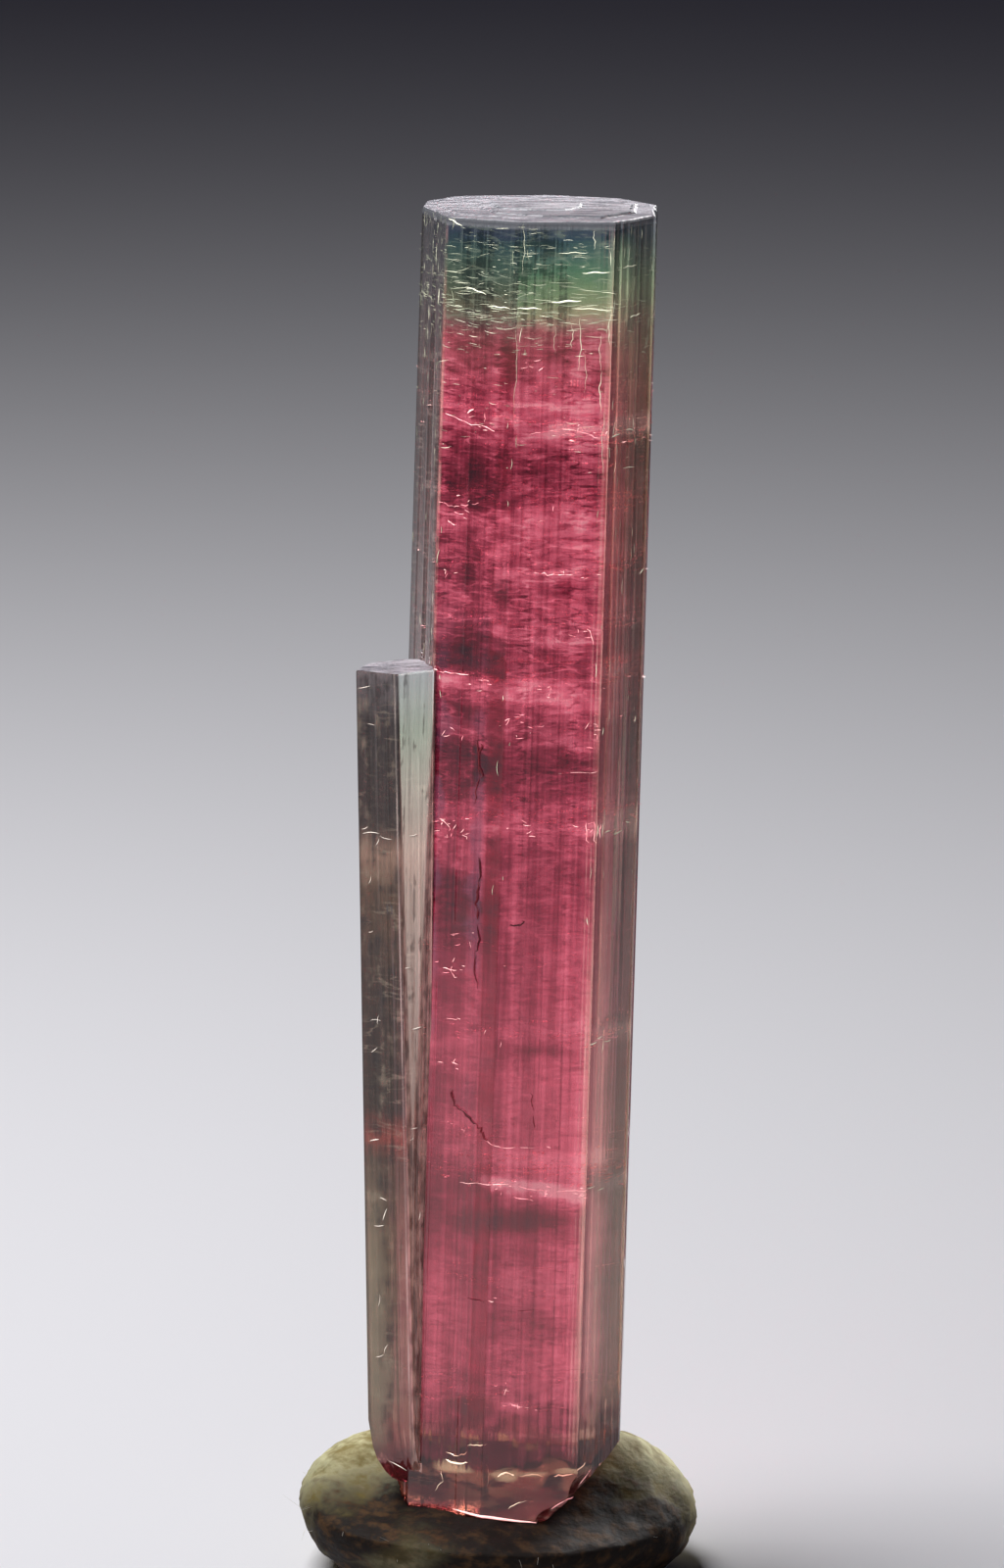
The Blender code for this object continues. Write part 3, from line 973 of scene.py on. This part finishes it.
inclusions = {
    "seed": 31,
    "uprights": 150,
    # height, spread, how many, longest, thickest
    "creamShoals": [
        (46.4, 0.5, 420, 0.8, 0.02), (47.2, 0.8, 320, 0.9, 0.019), (48.6, 0.9, 300, 0.6, 0.016),
        (45.4, 0.8, 320, 0.5, 0.016), (42.6, 1.5, 220, 0.5, 0.014),
    ],
    # across, height, length, tilt, width of the larger splinters behind the front faces
    "creamSplinters": [
        (2.05, 48.05, 1.0, 0.06, 0.06), (1.0, 46.95, 1.1, 0.1, 0.085),
        (1.95, 46.7, 1.5, -0.02, 0.035), (1.2, 48.75, 1.1, 0.05, 0.035),
        (-0.35, 46.65, 0.9, 0.03, 0.06), (-1.45, 46.62, 0.8, -0.02, 0.05),
        (-2.3, 47.15, 0.7, -0.3, 0.045), (-3.15, 49.6, 0.5, -0.5, 0.05),
        (3.3, 48.25, 0.5, 0.05, 0.05), (3.55, 46.4, 0.4, 0.2, 0.05),
    ],
    # across, lower height, upper height, width
    "creamThreads": [
        (1.55, 44.4, 46.4, 0.026), (1.25, 45.2, 46.1, 0.02), (2.35, 42.9, 44.4, 0.03),
        (2.3, 44.4, 45.8, 0.018), (2.62, 45.2, 46.9, 0.018), (1.95, 48.9, 49.6, 0.026),
        (-0.62, 47.9, 49.8, 0.016), (2.5, 40.6, 43.0, 0.016), (-0.78, 42.6, 46.0, 0.014),
        (0.62, 45.0, 46.0, 0.016), (1.78, 43.6, 45.2, 0.014),
    ],
    # lines behind the front faces, each a width and its (across, height) points
    "cracks": [
        (0.1, (-1.6, 25.9), (-1.52, 25.1), (-1.66, 24.25), (-1.6, 23.5)),
        (0.06, (-1.6, 23.3), (-1.55, 22.6), (-1.68, 21.89), (-1.54, 20.86)),
        (0.08, (-1.62, 30.2), (-1.7, 29.6), (-1.6, 28.9)),
        (0.075, (-2.42, 16.76), (-2.3, 16.27), (-2.03, 16.0), (-1.66, 15.77), (-1.31, 15.39),
         (-1.01, 15.04)),
        (0.05, (-0.37, 23.43), (-0.07, 23.4), (0.21, 23.55)),
        (0.06, (-1.81, 30.32), (-1.7, 29.21), (-1.81, 27.9)),
        (0.04, (0.62, 16.9), (0.7, 16.1), (0.78, 15.5)), (0.03, (-1.6, 8.75), (-0.9, 8.7)),
        (0.026, (0.3, 8.4), (1.0, 8.46)),
    ],
    "paleLines": [
        (0.04, (-1.01, 15.01), (-0.52, 14.78), (0.22, 14.81), (1.4, 14.85)),
        (0.06, (-3.5, 32.85), (-3.04, 32.74), (-2.2, 32.78)),
        (0.04, (-3.45, 39.19), (-3.03, 39.04), (-2.49, 39.12), (-1.95, 39.3)),
        (0.05, (0.11, 36.84), (0.65, 36.77), (1.56, 36.8)),
        (0.06, (-3.12, 38.46), (-2.95, 38.4), (-2.86, 38.31)), (0.04, (2.16, 34.77), (2.4, 34.22)),
        (0.05, (-3.07, 27.15), (-2.77, 26.89), (-2.87, 26.44)),
        (0.045, (2.33, 27.41), (2.42, 26.66)), (0.045, (2.61, 27.49), (2.71, 26.66)),
        (0.04, (2.87, 27.41), (2.89, 26.74)), (0.04, (-2.64, 19.5), (-2.13, 19.58)),
        (0.045, (-2.45, 21.89), (-2.54, 21.32), (-2.32, 21.17)),
        (0.05, (2.85, 19.04), (3.4, 19.02), (3.95, 18.97)), (0.03, (1.25, 29.28), (2.7, 29.36)),
        # the next one is a painted glint, low on the right panel
        (0.05, (0.14, 4.74), (0.7, 4.59), (1.27, 4.51)),
        (0.035, (-1.95, 13.24), (-0.11, 13.32), (1.37, 13.17), (2.85, 13.24)),
        (0.06, (0.09, 12.86), (0.83, 12.75)), (0.04, (-0.23, 42.0), (1.21, 42.19), (2.37, 41.93)),
        (0.04, (-3.3, 42.48), (-2.39, 42.19), (-1.49, 42.04)),
    ],
    "footCrescents": [
        (0.045, (-2.2, 2.23), (-1.83, 2.11), (-1.4, 2.24)),
        (0.022, (-2.2, 2.5), (-1.8, 2.44), (-1.4, 2.6)),
        (0.045, (-0.25, 1.82), (0.04, 1.97), (0.4, 1.9)),
        (0.025, (0.55, 1.8), (1.1, 1.95), (1.6, 1.84)),
        (0.04, (1.9, 1.9), (2.53, 2.01), (3.1, 2.36)),
        (0.02, (-1.37, 2.95), (-0.85, 3.03), (-0.56, 3.11)),
        (0.018, (-0.62, 1.2), (-0.55, 1.8), (-0.7, 2.3)),
        (0.018, (-2.6, 0.9), (-2.35, 1.3), (-2.4, 1.7)),
        (0.016, (0.2, 0.5), (0.6, 0.8), (1.2, 0.9)),
    ],
    # painted highlights along the bottom edge and round the chipped corner
    "footEdgeGlints": [
        (0.09, (-1.9, 0.3), (-0.47, 0.16), (1.3, 0.02)),
        (0.022, (1.86, 0.6), (2.3, 0.92), (2.7, 1.1)),
        (0.02, (2.87, 1.6), (3.1, 1.8), (3.3, 2.05)),
    ],
    # painted glints, single pale flecks: face, share of its width, height, length, angle, width,
    # brightness
    "rimGlints": [
        (2, 0.0, 27.15, 0.45, 85, 0.045, 0.9), (2, 0.12, 27.1, 0.5, 88, 0.04, 0.9),
        (2, 0.25, 27.0, 0.35, 5, 0.05, 0.6), (2, 0.5, 26.9, 0.5, 10, 0.05, 0.5),
        (2, 0.75, 27.2, 0.3, -15, 0.04, 0.5), (2, 0.05, 18.95, 0.4, 5, 0.05, 0.9),
        (2, 0.2, 19.1, 0.3, 10, 0.04, 0.8), (2, 0.4, 18.9, 0.4, -5, 0.04, 0.6),
        (2, 0.28, 18.7, 0.5, 80, 0.03, 0.6), (2, 0.15, 42.0, 0.5, 10, 0.045, 0.8),
        (2, 0.5, 42.1, 0.5, -10, 0.04, 0.7), (2, 0.5, 40.7, 0.7, -3, 0.03, 0.7),
        (2, 0.9, 36.7, 0.3, 40, 0.05, 0.9), (2, 0.1, 13.3, 0.5, 0, 0.03, 0.7),
        (2, 0.35, 13.1, 0.4, 5, 0.03, 0.5), (2, 0.85, 31.1, 0.25, 80, 0.04, 0.8),
        (2, 0.05, 30.9, 0.3, 80, 0.04, 0.7), (9, 0.65, 48.2, 0.8, 86, 0.03, 0.7),
        (9, 0.8, 46.7, 0.6, 80, 0.04, 0.8), (9, 0.4, 45.9, 0.5, 95, 0.03, 0.7),
    ],
    "sideGlints": [
        (0, 0.2, 31.3, 0.55, 15, 0.04, 0.7), (0, 0.35, 29.9, 0.35, -8, 0.03, 0.4),
        (0, 0.3, 25.7, 0.7, 5, 0.04, 0.8), (0, 0.65, 25.6, 0.5, -8, 0.035, 0.6),
        (0, 0.45, 25.4, 0.3, 60, 0.035, 0.8), (0, 0.15, 25.9, 0.3, 25, 0.04, 0.5),
        (1, 0.4, 25.7, 0.35, 5, 0.06, 0.9), (0, 0.25, 23.9, 0.3, 70, 0.06, 0.3),
        (0, 0.25, 21.9, 0.2, 20, 0.05, 0.3), (1, 0.15, 20.6, 0.25, 0, 0.05, 0.9),
        (0, 0.32, 18.45, 0.45, 5, 0.025, 0.9), (0, 0.38, 18.5, 0.35, 80, 0.025, 0.8),
        (1, 0.45, 18.2, 0.4, 5, 0.09, 1.0), (0, 0.28, 17.3, 0.35, 40, 0.04, 0.7),
        (0, 0.25, 13.75, 0.4, 15, 0.06, 0.9), (1, 0.3, 14.3, 0.3, 0, 0.05, 0.9),
        (1, 0.2, 13.9, 0.2, 20, 0.04, 0.7), (0, 0.42, 11.45, 0.3, -20, 0.04, 0.8),
        (0, 0.45, 10.85, 0.5, 70, 0.045, 0.9), (0, 0.32, 10.4, 0.4, 10, 0.04, 0.8),
        (1, 0.5, 10.8, 0.3, 75, 0.05, 0.9), (0, 0.28, 7.4, 0.5, 80, 0.035, 0.5),
        (0, 0.42, 5.5, 0.4, 65, 0.04, 0.6), (0, 0.28, 5.2, 0.35, 20, 0.04, 0.6),
        (0, 0.62, 0.85, 0.8, -24, 0.04, 1.0),
    ],
    # pink glints in knots: across, height, how many
    "glintKnots": [
        (-2.9, 27.0, 7), (-2.4, 26.7, 5), (-2.2, 22.8, 5), (-2.55, 21.5, 7), (-0.4, 31.2, 5),
        (0.2, 30.9, 5), (-2.7, 30.5, 4), (2.4, 30.7, 4), (2.7, 31.0, 4), (-0.9, 19.3, 5),
        (-2.4, 17.8, 4), (-0.6, 13.1, 6), (1.2, 13.0, 6), (2.4, 27.2, 6), (0.3, 4.7, 7),
        (-0.2, 5.3, 4), (-1.6, 32.6, 6), (0.6, 32.4, 7), (-2.8, 36.5, 4), (1.6, 36.8, 5),
        (-2.6, 39.0, 5), (1.8, 42.2, 6), (-1.8, 42.2, 6), (2.2, 34.6, 4), (-2.0, 15.4, 4),
        (0.2, 27.1, 5), (-0.5, 8.8, 4), (2.7, 13.2, 5), (0.9, 39.0, 4), (-0.2, 44.6, 5),
    ],
    # height, tilt to the right, share of the section covered, flakes, their size
    "veils": [
        (43.3, -0.05, 0.5, 130, 0.16), (42.2, -0.12, 0.75, 340, 0.19),
        (41.3, -0.1, 0.35, 90, 0.15), (39.3, -0.02, 0.6, 220, 0.18), (36.7, 0.0, 0.65, 240, 0.18),
        (34.5, 0.05, 0.45, 160, 0.2), (32.7, -0.03, 0.75, 320, 0.2), (31.0, 0.02, 0.3, 80, 0.15),
        (27.2, -0.03, 0.6, 240, 0.18), (22.0, 0.03, 0.25, 70, 0.14), (18.9, 0.02, 0.35, 110, 0.16),
        (14.9, 0.0, 0.3, 90, 0.15), (13.3, -0.02, 0.7, 300, 0.18), (8.7, 0.02, 0.25, 70, 0.14),
        (4.7, 0.04, 0.35, 90, 0.15),
    ],
}


def lineBehind(points, depth, draw, wobble):
    # a smooth path through the points, a little behind the front faces
    spots = [Vector(p) for p in points]
    path = []
    for i in range(len(spots) - 1):
        before, start = spots[max(i - 1, 0)], spots[i]
        end, after = spots[i + 1], spots[min(i + 2, len(spots) - 1)]
        for j in range(5):
            t = j / 5
            middle = 2 * start + (end - before) * t
            middle += (2 * before - 5 * start + 4 * end - after) * t * t
            middle += (3 * start - before - 3 * end + after) * t ** 3
            path.append(middle / 2)
    path.append(spots[-1])
    jitter = [Vector((draw.gauss(0, wobble), draw.gauss(0, wobble))) for _ in path]
    return [onFront(p.x + w.x, p.y + w.y, depth) for p, w in zip(path, jitter)]


def makeGlints(name, piece, flecks, material, scale=1.0):
    # painted glints: short curved pale slivers lying in the faces
    draw = random.Random(inclusions["seed"] + 13)
    made = Slivers(name)
    for face, share, height, length, angle, width, shine in flecks:
        corners = cornersAt(piece, height)
        a, b = corners[face], corners[(face + 1) % len(corners)]
        along = (b - a).normalized()
        outward = Vector((along.y, -along.x, 0))
        middle = Vector((*a.lerp(b, share), height)) - outward * 0.004
        along, turn = Vector((*along, 0)), math.radians(angle)
        bend = draw.uniform(-0.2, 0.2)
        path = []
        for i in range(7):
            t = i / 6 - 0.5
            ahead, aside = t * length, bend * (0.25 - t * t) * length * 2
            run = ahead * math.cos(turn) - aside * math.sin(turn)
            rise = ahead * math.sin(turn) + aside * math.cos(turn)
            path.append(middle + along * run + Vector((0, 0, rise)))
        made.sliver(path, outward, width * scale, shine)
    return made.build(material, ownFrame(piece))


def glintFlecks():
    # the knots of glints as single flecks on the two front faces
    draw = random.Random(inclusions["seed"] + 17)
    flecks = []
    for across, height, count in inclusions["glintKnots"]:
        for _ in range(count):
            x, up = across + draw.gauss(0, 0.28), height + draw.gauss(0, 0.16)
            corners = cornersAt(crystal, up)
            face = 0 if x < corners[1].x else 1
            share = (x - corners[face].x) / (corners[face + 1].x - corners[face].x)
            if 0.03 < share < 0.99:
                level = [draw.gauss(0, 12) for _ in range(3)]
                angle = draw.choice((*level, draw.gauss(70, 20)))
                length, width = draw.uniform(0.08, 0.30), draw.uniform(0.010, 0.024)
                flecks.append((face, share, up, length, angle, width, draw.random() ** 1.5))
    return flecks


def uprightGlints():
    # painted highlights: short upright pale marks near the edges where the striations catch the
    # light, thicker towards the top
    draw = random.Random(inclusions["seed"] + 19)
    flecks = []
    top, reach = 49.6, 26
    for _ in range(inclusions["uprights"]):
        face = draw.choice((9, 9, 9, 2, 2, 0, 1))
        if face in (9, 2):
            share = draw.random()
        else:
            share = draw.choice((draw.uniform(0.0, 0.12), draw.uniform(0.9, 1.0)))
        height = top - reach * draw.random() ** 1.8
        length, angle = draw.uniform(0.12, 0.6), draw.gauss(90, 6)
        width = draw.uniform(0.010, 0.022)
        flecks.append((face, share, height, length, angle, width, draw.random() ** 2))
    return flecks


def makeLines(name, group, material, depth, wobble, scale=1.0, runs=(2, 3, 4)):
    draw = random.Random(inclusions["seed"] + 7)
    made = Slivers(name)
    for width, *points in inclusions[group]:
        path = lineBehind(points, depth, draw, wobble)
        start = 0
        while start < len(path) - 1:
            end = start + draw.choice(runs)
            wide = width * scale * draw.uniform(0.6, 1.2)
            made.sliver(path[start:end + 1], front, wide, draw.uniform(0.05, 0.75))
            start = end + draw.choice((0, 0, 1))
    return made.build(material)


def makeCreamInclusions(material):
    draw = random.Random(inclusions["seed"])
    cream = Slivers("creamInclusions")
    lowest, highest = 40, 49.7
    for height, spread, count, longest, widest in inclusions["creamShoals"]:
        for _ in range(count):
            share, up = draw.random(), draw.gauss(height, spread * 0.6)
            place, along, outward = aroundAt(share, up, draw.uniform(0.0, 0.012))
            if not lowest < place.z < highest:
                continue
            length = longest * draw.uniform(0.15, 1.0) ** 1.6
            arch = draw.uniform(-0.10, 0.10) * length
            tilt = draw.gauss(0, 0.11)
            path = []
            for i in range(6):
                t = i / 5 - 0.5
                rise = arch * (1 - 4 * t * t) + tilt * t * length
                path.append(place + along * t * length + Vector((0, 0, rise)))
            cream.sliver(path, outward, widest * draw.uniform(0.35, 1.0), draw.random() ** 3)
    for across, height, length, tilt, width in inclusions["creamSplinters"]:
        depth = draw.uniform(0.0, 0.008)
        path = []
        for i in range(8):
            t = i / 7 - 0.5
            rise = 0.018 * math.sin(11 * t + across) + (tilt - 0.07 * t) * t * length
            path.append(onFront(across + t * length, height + rise, depth))
        cream.sliver(path, front, width * 0.8, draw.uniform(0.6, 1.0))
    for across, low, high, width in inclusions["creamThreads"]:
        depth = draw.uniform(0.0, 0.008)
        path = []
        for i in range(11):
            t = i / 10
            wave = 0.035 * math.sin(7 * t + across * 3) + 0.025 * math.sin(19 * t)
            path.append(onFront(across + wave, low + (high - low) * t, depth))
        cream.sliver(path, front, width * 0.7, draw.uniform(0.2, 0.7))
    return cream.build(material)


def makeVeils(material):
    draw = random.Random(inclusions["seed"] + 1)
    veils = Slivers("palePinkVeils")
    for number, (height, tilt, share, count, size) in enumerate(inclusions["veils"]):
        placed, tries = 0, 12
        for _ in range(count * tries):
            if placed == count:
                break
            x, y = draw.uniform(-4.5, 4.5), draw.uniform(-3.8, 3.9)
            patch = noise.noise(Vector((x * 0.45, y * 0.45, number * 9.7)))
            if patch < 0.35 - share or not inside(x, y, 0.15):
                continue
            wave = 0.55 * noise.noise(Vector((x * 0.5, y * 0.5, number * 5.3)))
            wave += 0.12 * noise.noise(Vector((x * 2.0, y * 2.0, number * 3.1)))
            place = Vector((x, y, height + tilt * x + wave + draw.gauss(0, 0.05)))
            up = Vector((draw.gauss(0, 0.22), draw.gauss(0, 0.22), 1)).normalized()
            veils.flake(place, up, size * draw.uniform(0.4, 1.3), draw)
            placed += 1
    return veils.build(material)


def paleStone(name, light, dark, rough, gloss=0.5):
    paint = Paint(name)
    x, y, z = paint.axes()
    cloud = paint.noise(paint.vector(x * 1.7, y * 1.7, z * 4.0), 3.0, 0.6)
    shine = paint.faceNumber("shine")
    grit = paint.noise(paint.vector(x * 9.0, y * 9.0, z * 9.0))
    return paint.finish(
        {
            "Base Color": paint.mix(shade(*dark), shade(*light), shine + (cloud - 0.5) * 0.5),
            "Roughness": rough + cloud * 0.1,
            "Specular IOR Level": gloss,
            "Normal": paint.bump(grit, 0.4, 0.02 * mm),
        }
    )


# Mounting putty

putty = {
    "width": 15.40,
    "depth": 12.80,
    "middle": (-0.16, 0.13),
    "seatGap": 0.04,
    "seatDepth": 14,     # the crystal presses into it from below this height
    "sharpAngle": 40,
    "seed": 47,
    "fibres": 46,
    "fibreWidth": 0.018,
}


def rounded(x, y, atX, atY, reach):
    return math.exp(-((x - atX) ** 2 + (y - atY) ** 2) / reach ** 2)


def puttyPoint(direction):
    x = direction.x * putty["width"] / 2
    y = direction.y * putty["depth"] / 2
    middle = 2.65 - 0.035 * x
    if direction.z > 0:
        rise = 2.9 * (0.30 + 0.70 * eased(-5.6, 0.4, y))
        rise -= 0.9 * rounded(x, y, -4.4, -2.4, 2.0)
        rise += 0.9 * rounded(x, y, 5.8, 0.2, 2.6)
        z = middle + direction.z * rise
    else:
        z = middle + direction.z * 3.9
    around = math.atan2(direction.y, direction.x)
    swell = 1 + 0.018 * math.sin(3 * around + 0.6) + 0.012 * math.sin(5 * around + 2.1)
    return Vector((x * swell + putty["middle"][0], y * swell + putty["middle"][1], z))


def makePutty():
    bm = bmesh.new()
    bmesh.ops.create_icosphere(bm, subdivisions=6, radius=1.0)
    for vert in bm.verts:
        direction = vert.co.normalized()
        place = puttyPoint(direction)
        rough = noise.fractal(place * 0.9, 0.9, 2.0, 4) * 0.10
        rough += noise.fractal(place * 4.0, 0.9, 2.0, 3) * 0.022
        place += direction * rough
        vert.co = place * mm
    everything = bm.verts[:] + bm.edges[:] + bm.faces[:]
    sliced = bmesh.ops.bisect_plane(
        bm, geom=everything, plane_co=(0, 0, 0), plane_no=(0, 0, -1), clear_outer=True
    )
    rim = [g for g in sliced["geom_cut"] if isinstance(g, bmesh.types.BMEdge)]
    bmesh.ops.contextual_create(bm, geom=rim)
    made = addObject("puttyLump", meshOf("puttyLump", bm))
    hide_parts("mounting_putty")
    return made


def seatPutty(lump, stone):
    # the crystal itself, a hair thicker, presses its own shape into the lump
    press = looseObject("press", stone.data.copy(), Matrix.Identity(4))
    bm = bmesh.new()
    bm.from_mesh(press.data)
    low = [v for v in bm.verts if v.co.z < putty["seatDepth"] * mm]
    for vert in low:
        vert.co += vert.normal * putty["seatGap"] * mm
    bm.to_mesh(press.data)
    bm.free()
    boolean(lump, press, "DIFFERENCE")
    settle(lump)
    bpy.data.objects.remove(press)
    lump.data.shade_smooth()
    lump.data.set_sharp_from_angle(angle=math.radians(putty["sharpAngle"]))
    print("putty:", len(lump.data.polygons), "faces")


def puttyPaint():
    paint = Paint("olivePutty")
    x, y, z = paint.axes()
    patches = paint.noise(paint.vector(x * 0.5, y * 0.5, z * 0.7), 3.0, 0.6)
    fine = paint.noise(paint.vector(x * 4.0, y * 4.0, z * 6.0), 3.0, 0.6) - 0.5
    dabs = paint.noise(paint.vector(x * 1.4 + y * 0.6, y * 1.4, z * 2.2), 2.0, 0.5)
    mottle = (patches + (dabs - 0.5) * 0.6 + fine * 0.35).over(0.28, 0.76)
    worn = (dabs + fine * 0.5).over(0.66, 0.86)
    # painted shade, dark brown low down and at the front, lighter in a patch low on the left
    paintedShade = 4.1 - z * 0.62 - y * 0.85 - abs(x - 1.5) * 0.12
    paintedShade = paintedShade + (patches - 0.5) * 5.0 + (dabs - 0.5) * 3.4 + fine * 1.2
    shadeLiftRise = abs(z - 2.3 - (x + 3.6) * 0.3) * 0.9
    shadeLift = (abs(x + 3.6) * 0.5 + shadeLiftRise + (dabs - 0.5) * 1.4).under(0.3, 1.2)
    paintedShade = paintedShade.over(0.8, 3.6) * (1 - shadeLift * 0.36)
    olive = paint.mix(shade(112, 98, 52), shade(182, 178, 140), mottle)
    olive = paint.coats(olive, ((206, 202, 174), worn * 0.4))
    brown = paint.mix(shade(20, 9, 3), shade(76, 52, 27), (dabs + fine * 0.6).over(0.42, 0.78))
    return paint.finish(
        {
            "Base Color": paint.mix(olive, brown, paintedShade),
            "Roughness": 0.745 + fine * 0.25,
            "Specular IOR Level": 0.25,
            "Normal": paint.bump(dabs * 0.8 + fine * 0.5, 0.5, 0.10 * mm),
        }
    )


def makeLint(material):
    draw = random.Random(putty["seed"])
    lint = Slivers("puttyLint", "putty")
    for _ in range(putty["fibres"]):
        around = draw.uniform(0, math.tau)
        rise = draw.uniform(-0.55, 0.35)
        level = Vector((math.cos(around), math.sin(around), 0)) * math.cos(rise)
        direction = level + Vector((0, 0, math.sin(rise)))
        start = puttyPoint(direction)
        if start.z < 0.25:
            continue
        lean = (direction + Vector([draw.gauss(0, 0.6) for _ in range(3)])).normalized()
        bend = Vector([draw.gauss(0, 0.25) for _ in range(3)])
        length = draw.uniform(0.25, 0.7)
        path = []
        for i in range(5):
            t = i / 4
            path.append(start - direction * 0.08 + lean * t * length + bend * t * t * length)
        lint.sliver(path, lean.orthogonal().normalized(), putty["fibreWidth"], 1.0)
    lint.build(material, Matrix.Identity(4))


# Studio

camera = {
    "distance": 250.0,
    "pitch": math.radians(12.5),
    "aim": Vector((0.14, -0.47, 31.38)),
    "sensor": 36.0,
    "lens": 36.0 * 6752 / 1600,  # the focal length in pixels over the photo's height
}


def aimed(direction):
    # the way a lamp or a camera faces
    return direction.to_track_quat("-Z", "Y").to_euler()


def makeCamera():
    data = bpy.data.cameras.new("camera")
    made = looseObject("camera", data)
    forward = Vector((0, math.cos(camera["pitch"]), -math.sin(camera["pitch"])))
    made.location = (camera["aim"] - forward * camera["distance"]) * mm
    made.rotation_euler = aimed(forward)
    data.sensor_fit = "VERTICAL"
    data.sensor_height = camera["sensor"]
    data.lens = camera["lens"]
    data.clip_start = 0.001
    data.clip_end = 20.0
    bpy.context.scene.camera = made


def makeFloor():
    bm = bmesh.new()
    bmesh.ops.create_grid(bm, x_segments=8, y_segments=8, size=studio["floorReach"])
    made = addObject("floor", meshOf("floor", bm), body=None)
    paint = Paint("paleFloor")
    looks = {"Base Color": studio["floorColour"], "Roughness": 0.7}
    made.data.materials.append(paint.finish(looks))


def areaLight(name, place, aim, size, power, spread):
    data = bpy.data.lights.new(name, "AREA")
    data.shape = "RECTANGLE"
    data.size, data.size_y = size
    data.energy = power
    data.spread = math.radians(spread)
    made = looseObject(name, data)
    made.location = place
    made.rotation_euler = aimed(Vector(aim) - Vector(place))
    return made


studio = {
    # where each softbox hangs, what it points at, its size, power and spread
    "overhead": ((-0.08, 0.02, 0.25), (-0.08, 0.02, 0.0), (0.13, 0.13), 0.77, 180),
    "frontFill": ((-0.12, -0.20, 0.17), (0.0, 0.0, 0.034), (0.12, 0.12), 0.19, 45),
    "backFill": ((0.14, 0.20, 0.17), (0.0, 0.0, 0.034), (0.12, 0.12), 0.12, 45),
    "floorColour": (0.78, 0.775, 0.81),
    "floorReach": 3.0,
    "worldColour": (0.30, 0.20, 1.00),
    "worldStrength": 0.009,
}


def makeLights(stones, lump):
    areaLight("overhead", *studio["overhead"])
    # the two fills are flagged off the floor, and the front one off the putty too
    for name, lit in (("frontFill", stones), ("backFill", stones + [lump])):
        group = bpy.data.collections.new(name + "Lit")
        for piece in lit:
            group.objects.link(piece)
        lamp = areaLight(name, *studio[name])
        lamp.light_linking.receiver_collection = group
        lamp.visible_camera = False
    world = bpy.data.worlds.new("studio")
    bpy.context.scene.world = world
    world.use_nodes = True
    background = world.node_tree.nodes["Background"]
    background.inputs["Color"].default_value = (*studio["worldColour"], 1)
    background.inputs["Strength"].default_value = studio["worldStrength"]
    bpy.context.scene.view_settings.view_transform = "Standard"
    print("studio:", len(bpy.data.lights), "lights")


makeCamera()
makeFloor()
stone = makeCrystal()
lump = makePutty()
seatPutty(lump, stone)
for piece, material in ((stone, crystalPaint()), (lump, puttyPaint())):
    piece.data.materials.clear()
    piece.data.materials.append(material)
cream = paleStone("creamStone", (228, 226, 200), (122, 128, 104), 0.35)
palePink = paleStone("palePinkStone", (255, 206, 198), (226, 128, 138), 0.30)
sideGlintStone = paleStone("sideGlintPaint", (206, 196, 186), (112, 92, 80), 0.35)
darkBrown = paleStone("darkBrownStone", (84, 24, 30), (40, 8, 14), 0.60, 0.1)
footStone = paleStone("footStone", (255, 236, 206), (176, 120, 104), 0.2)
fibre = paleStone("lintFibre", (226, 220, 208), (170, 160, 140), 0.7)
edgeGlints = inclusions["rimGlints"] + uprightGlints()
marks = [
    makeCreamInclusions(cream),
    makeVeils(palePink),
    makeLines("palePinkLines", "paleLines", palePink, 0.004, 0.024, 0.5),
    makeLines("footCrescents", "footCrescents", footStone, 0.004, 0.02, 1.5, (6, 8, 10)),
    # painted highlights along the foot's edge
    makeLines("footEdgeGlints", "footEdgeGlints", palePink, -0.004, 0.01, runs=(6, 8, 10)),
    # the cream flecks here are painted glints along the edges
    makeGlints("rimGlints", crystal, edgeGlints, cream),
    makeGlints("sideGlints", sideCrystal, inclusions["sideGlints"], sideGlintStone, 0.6),
    makeGlints("pinkGlints", crystal, glintFlecks(), palePink),
    makeLines("darkCracks", "cracks", darkBrown, 0.004, 0.03, 1.1, (4, 6, 8)),
]
makeLights([stone, *marks], lump)
makeLint(fibre)
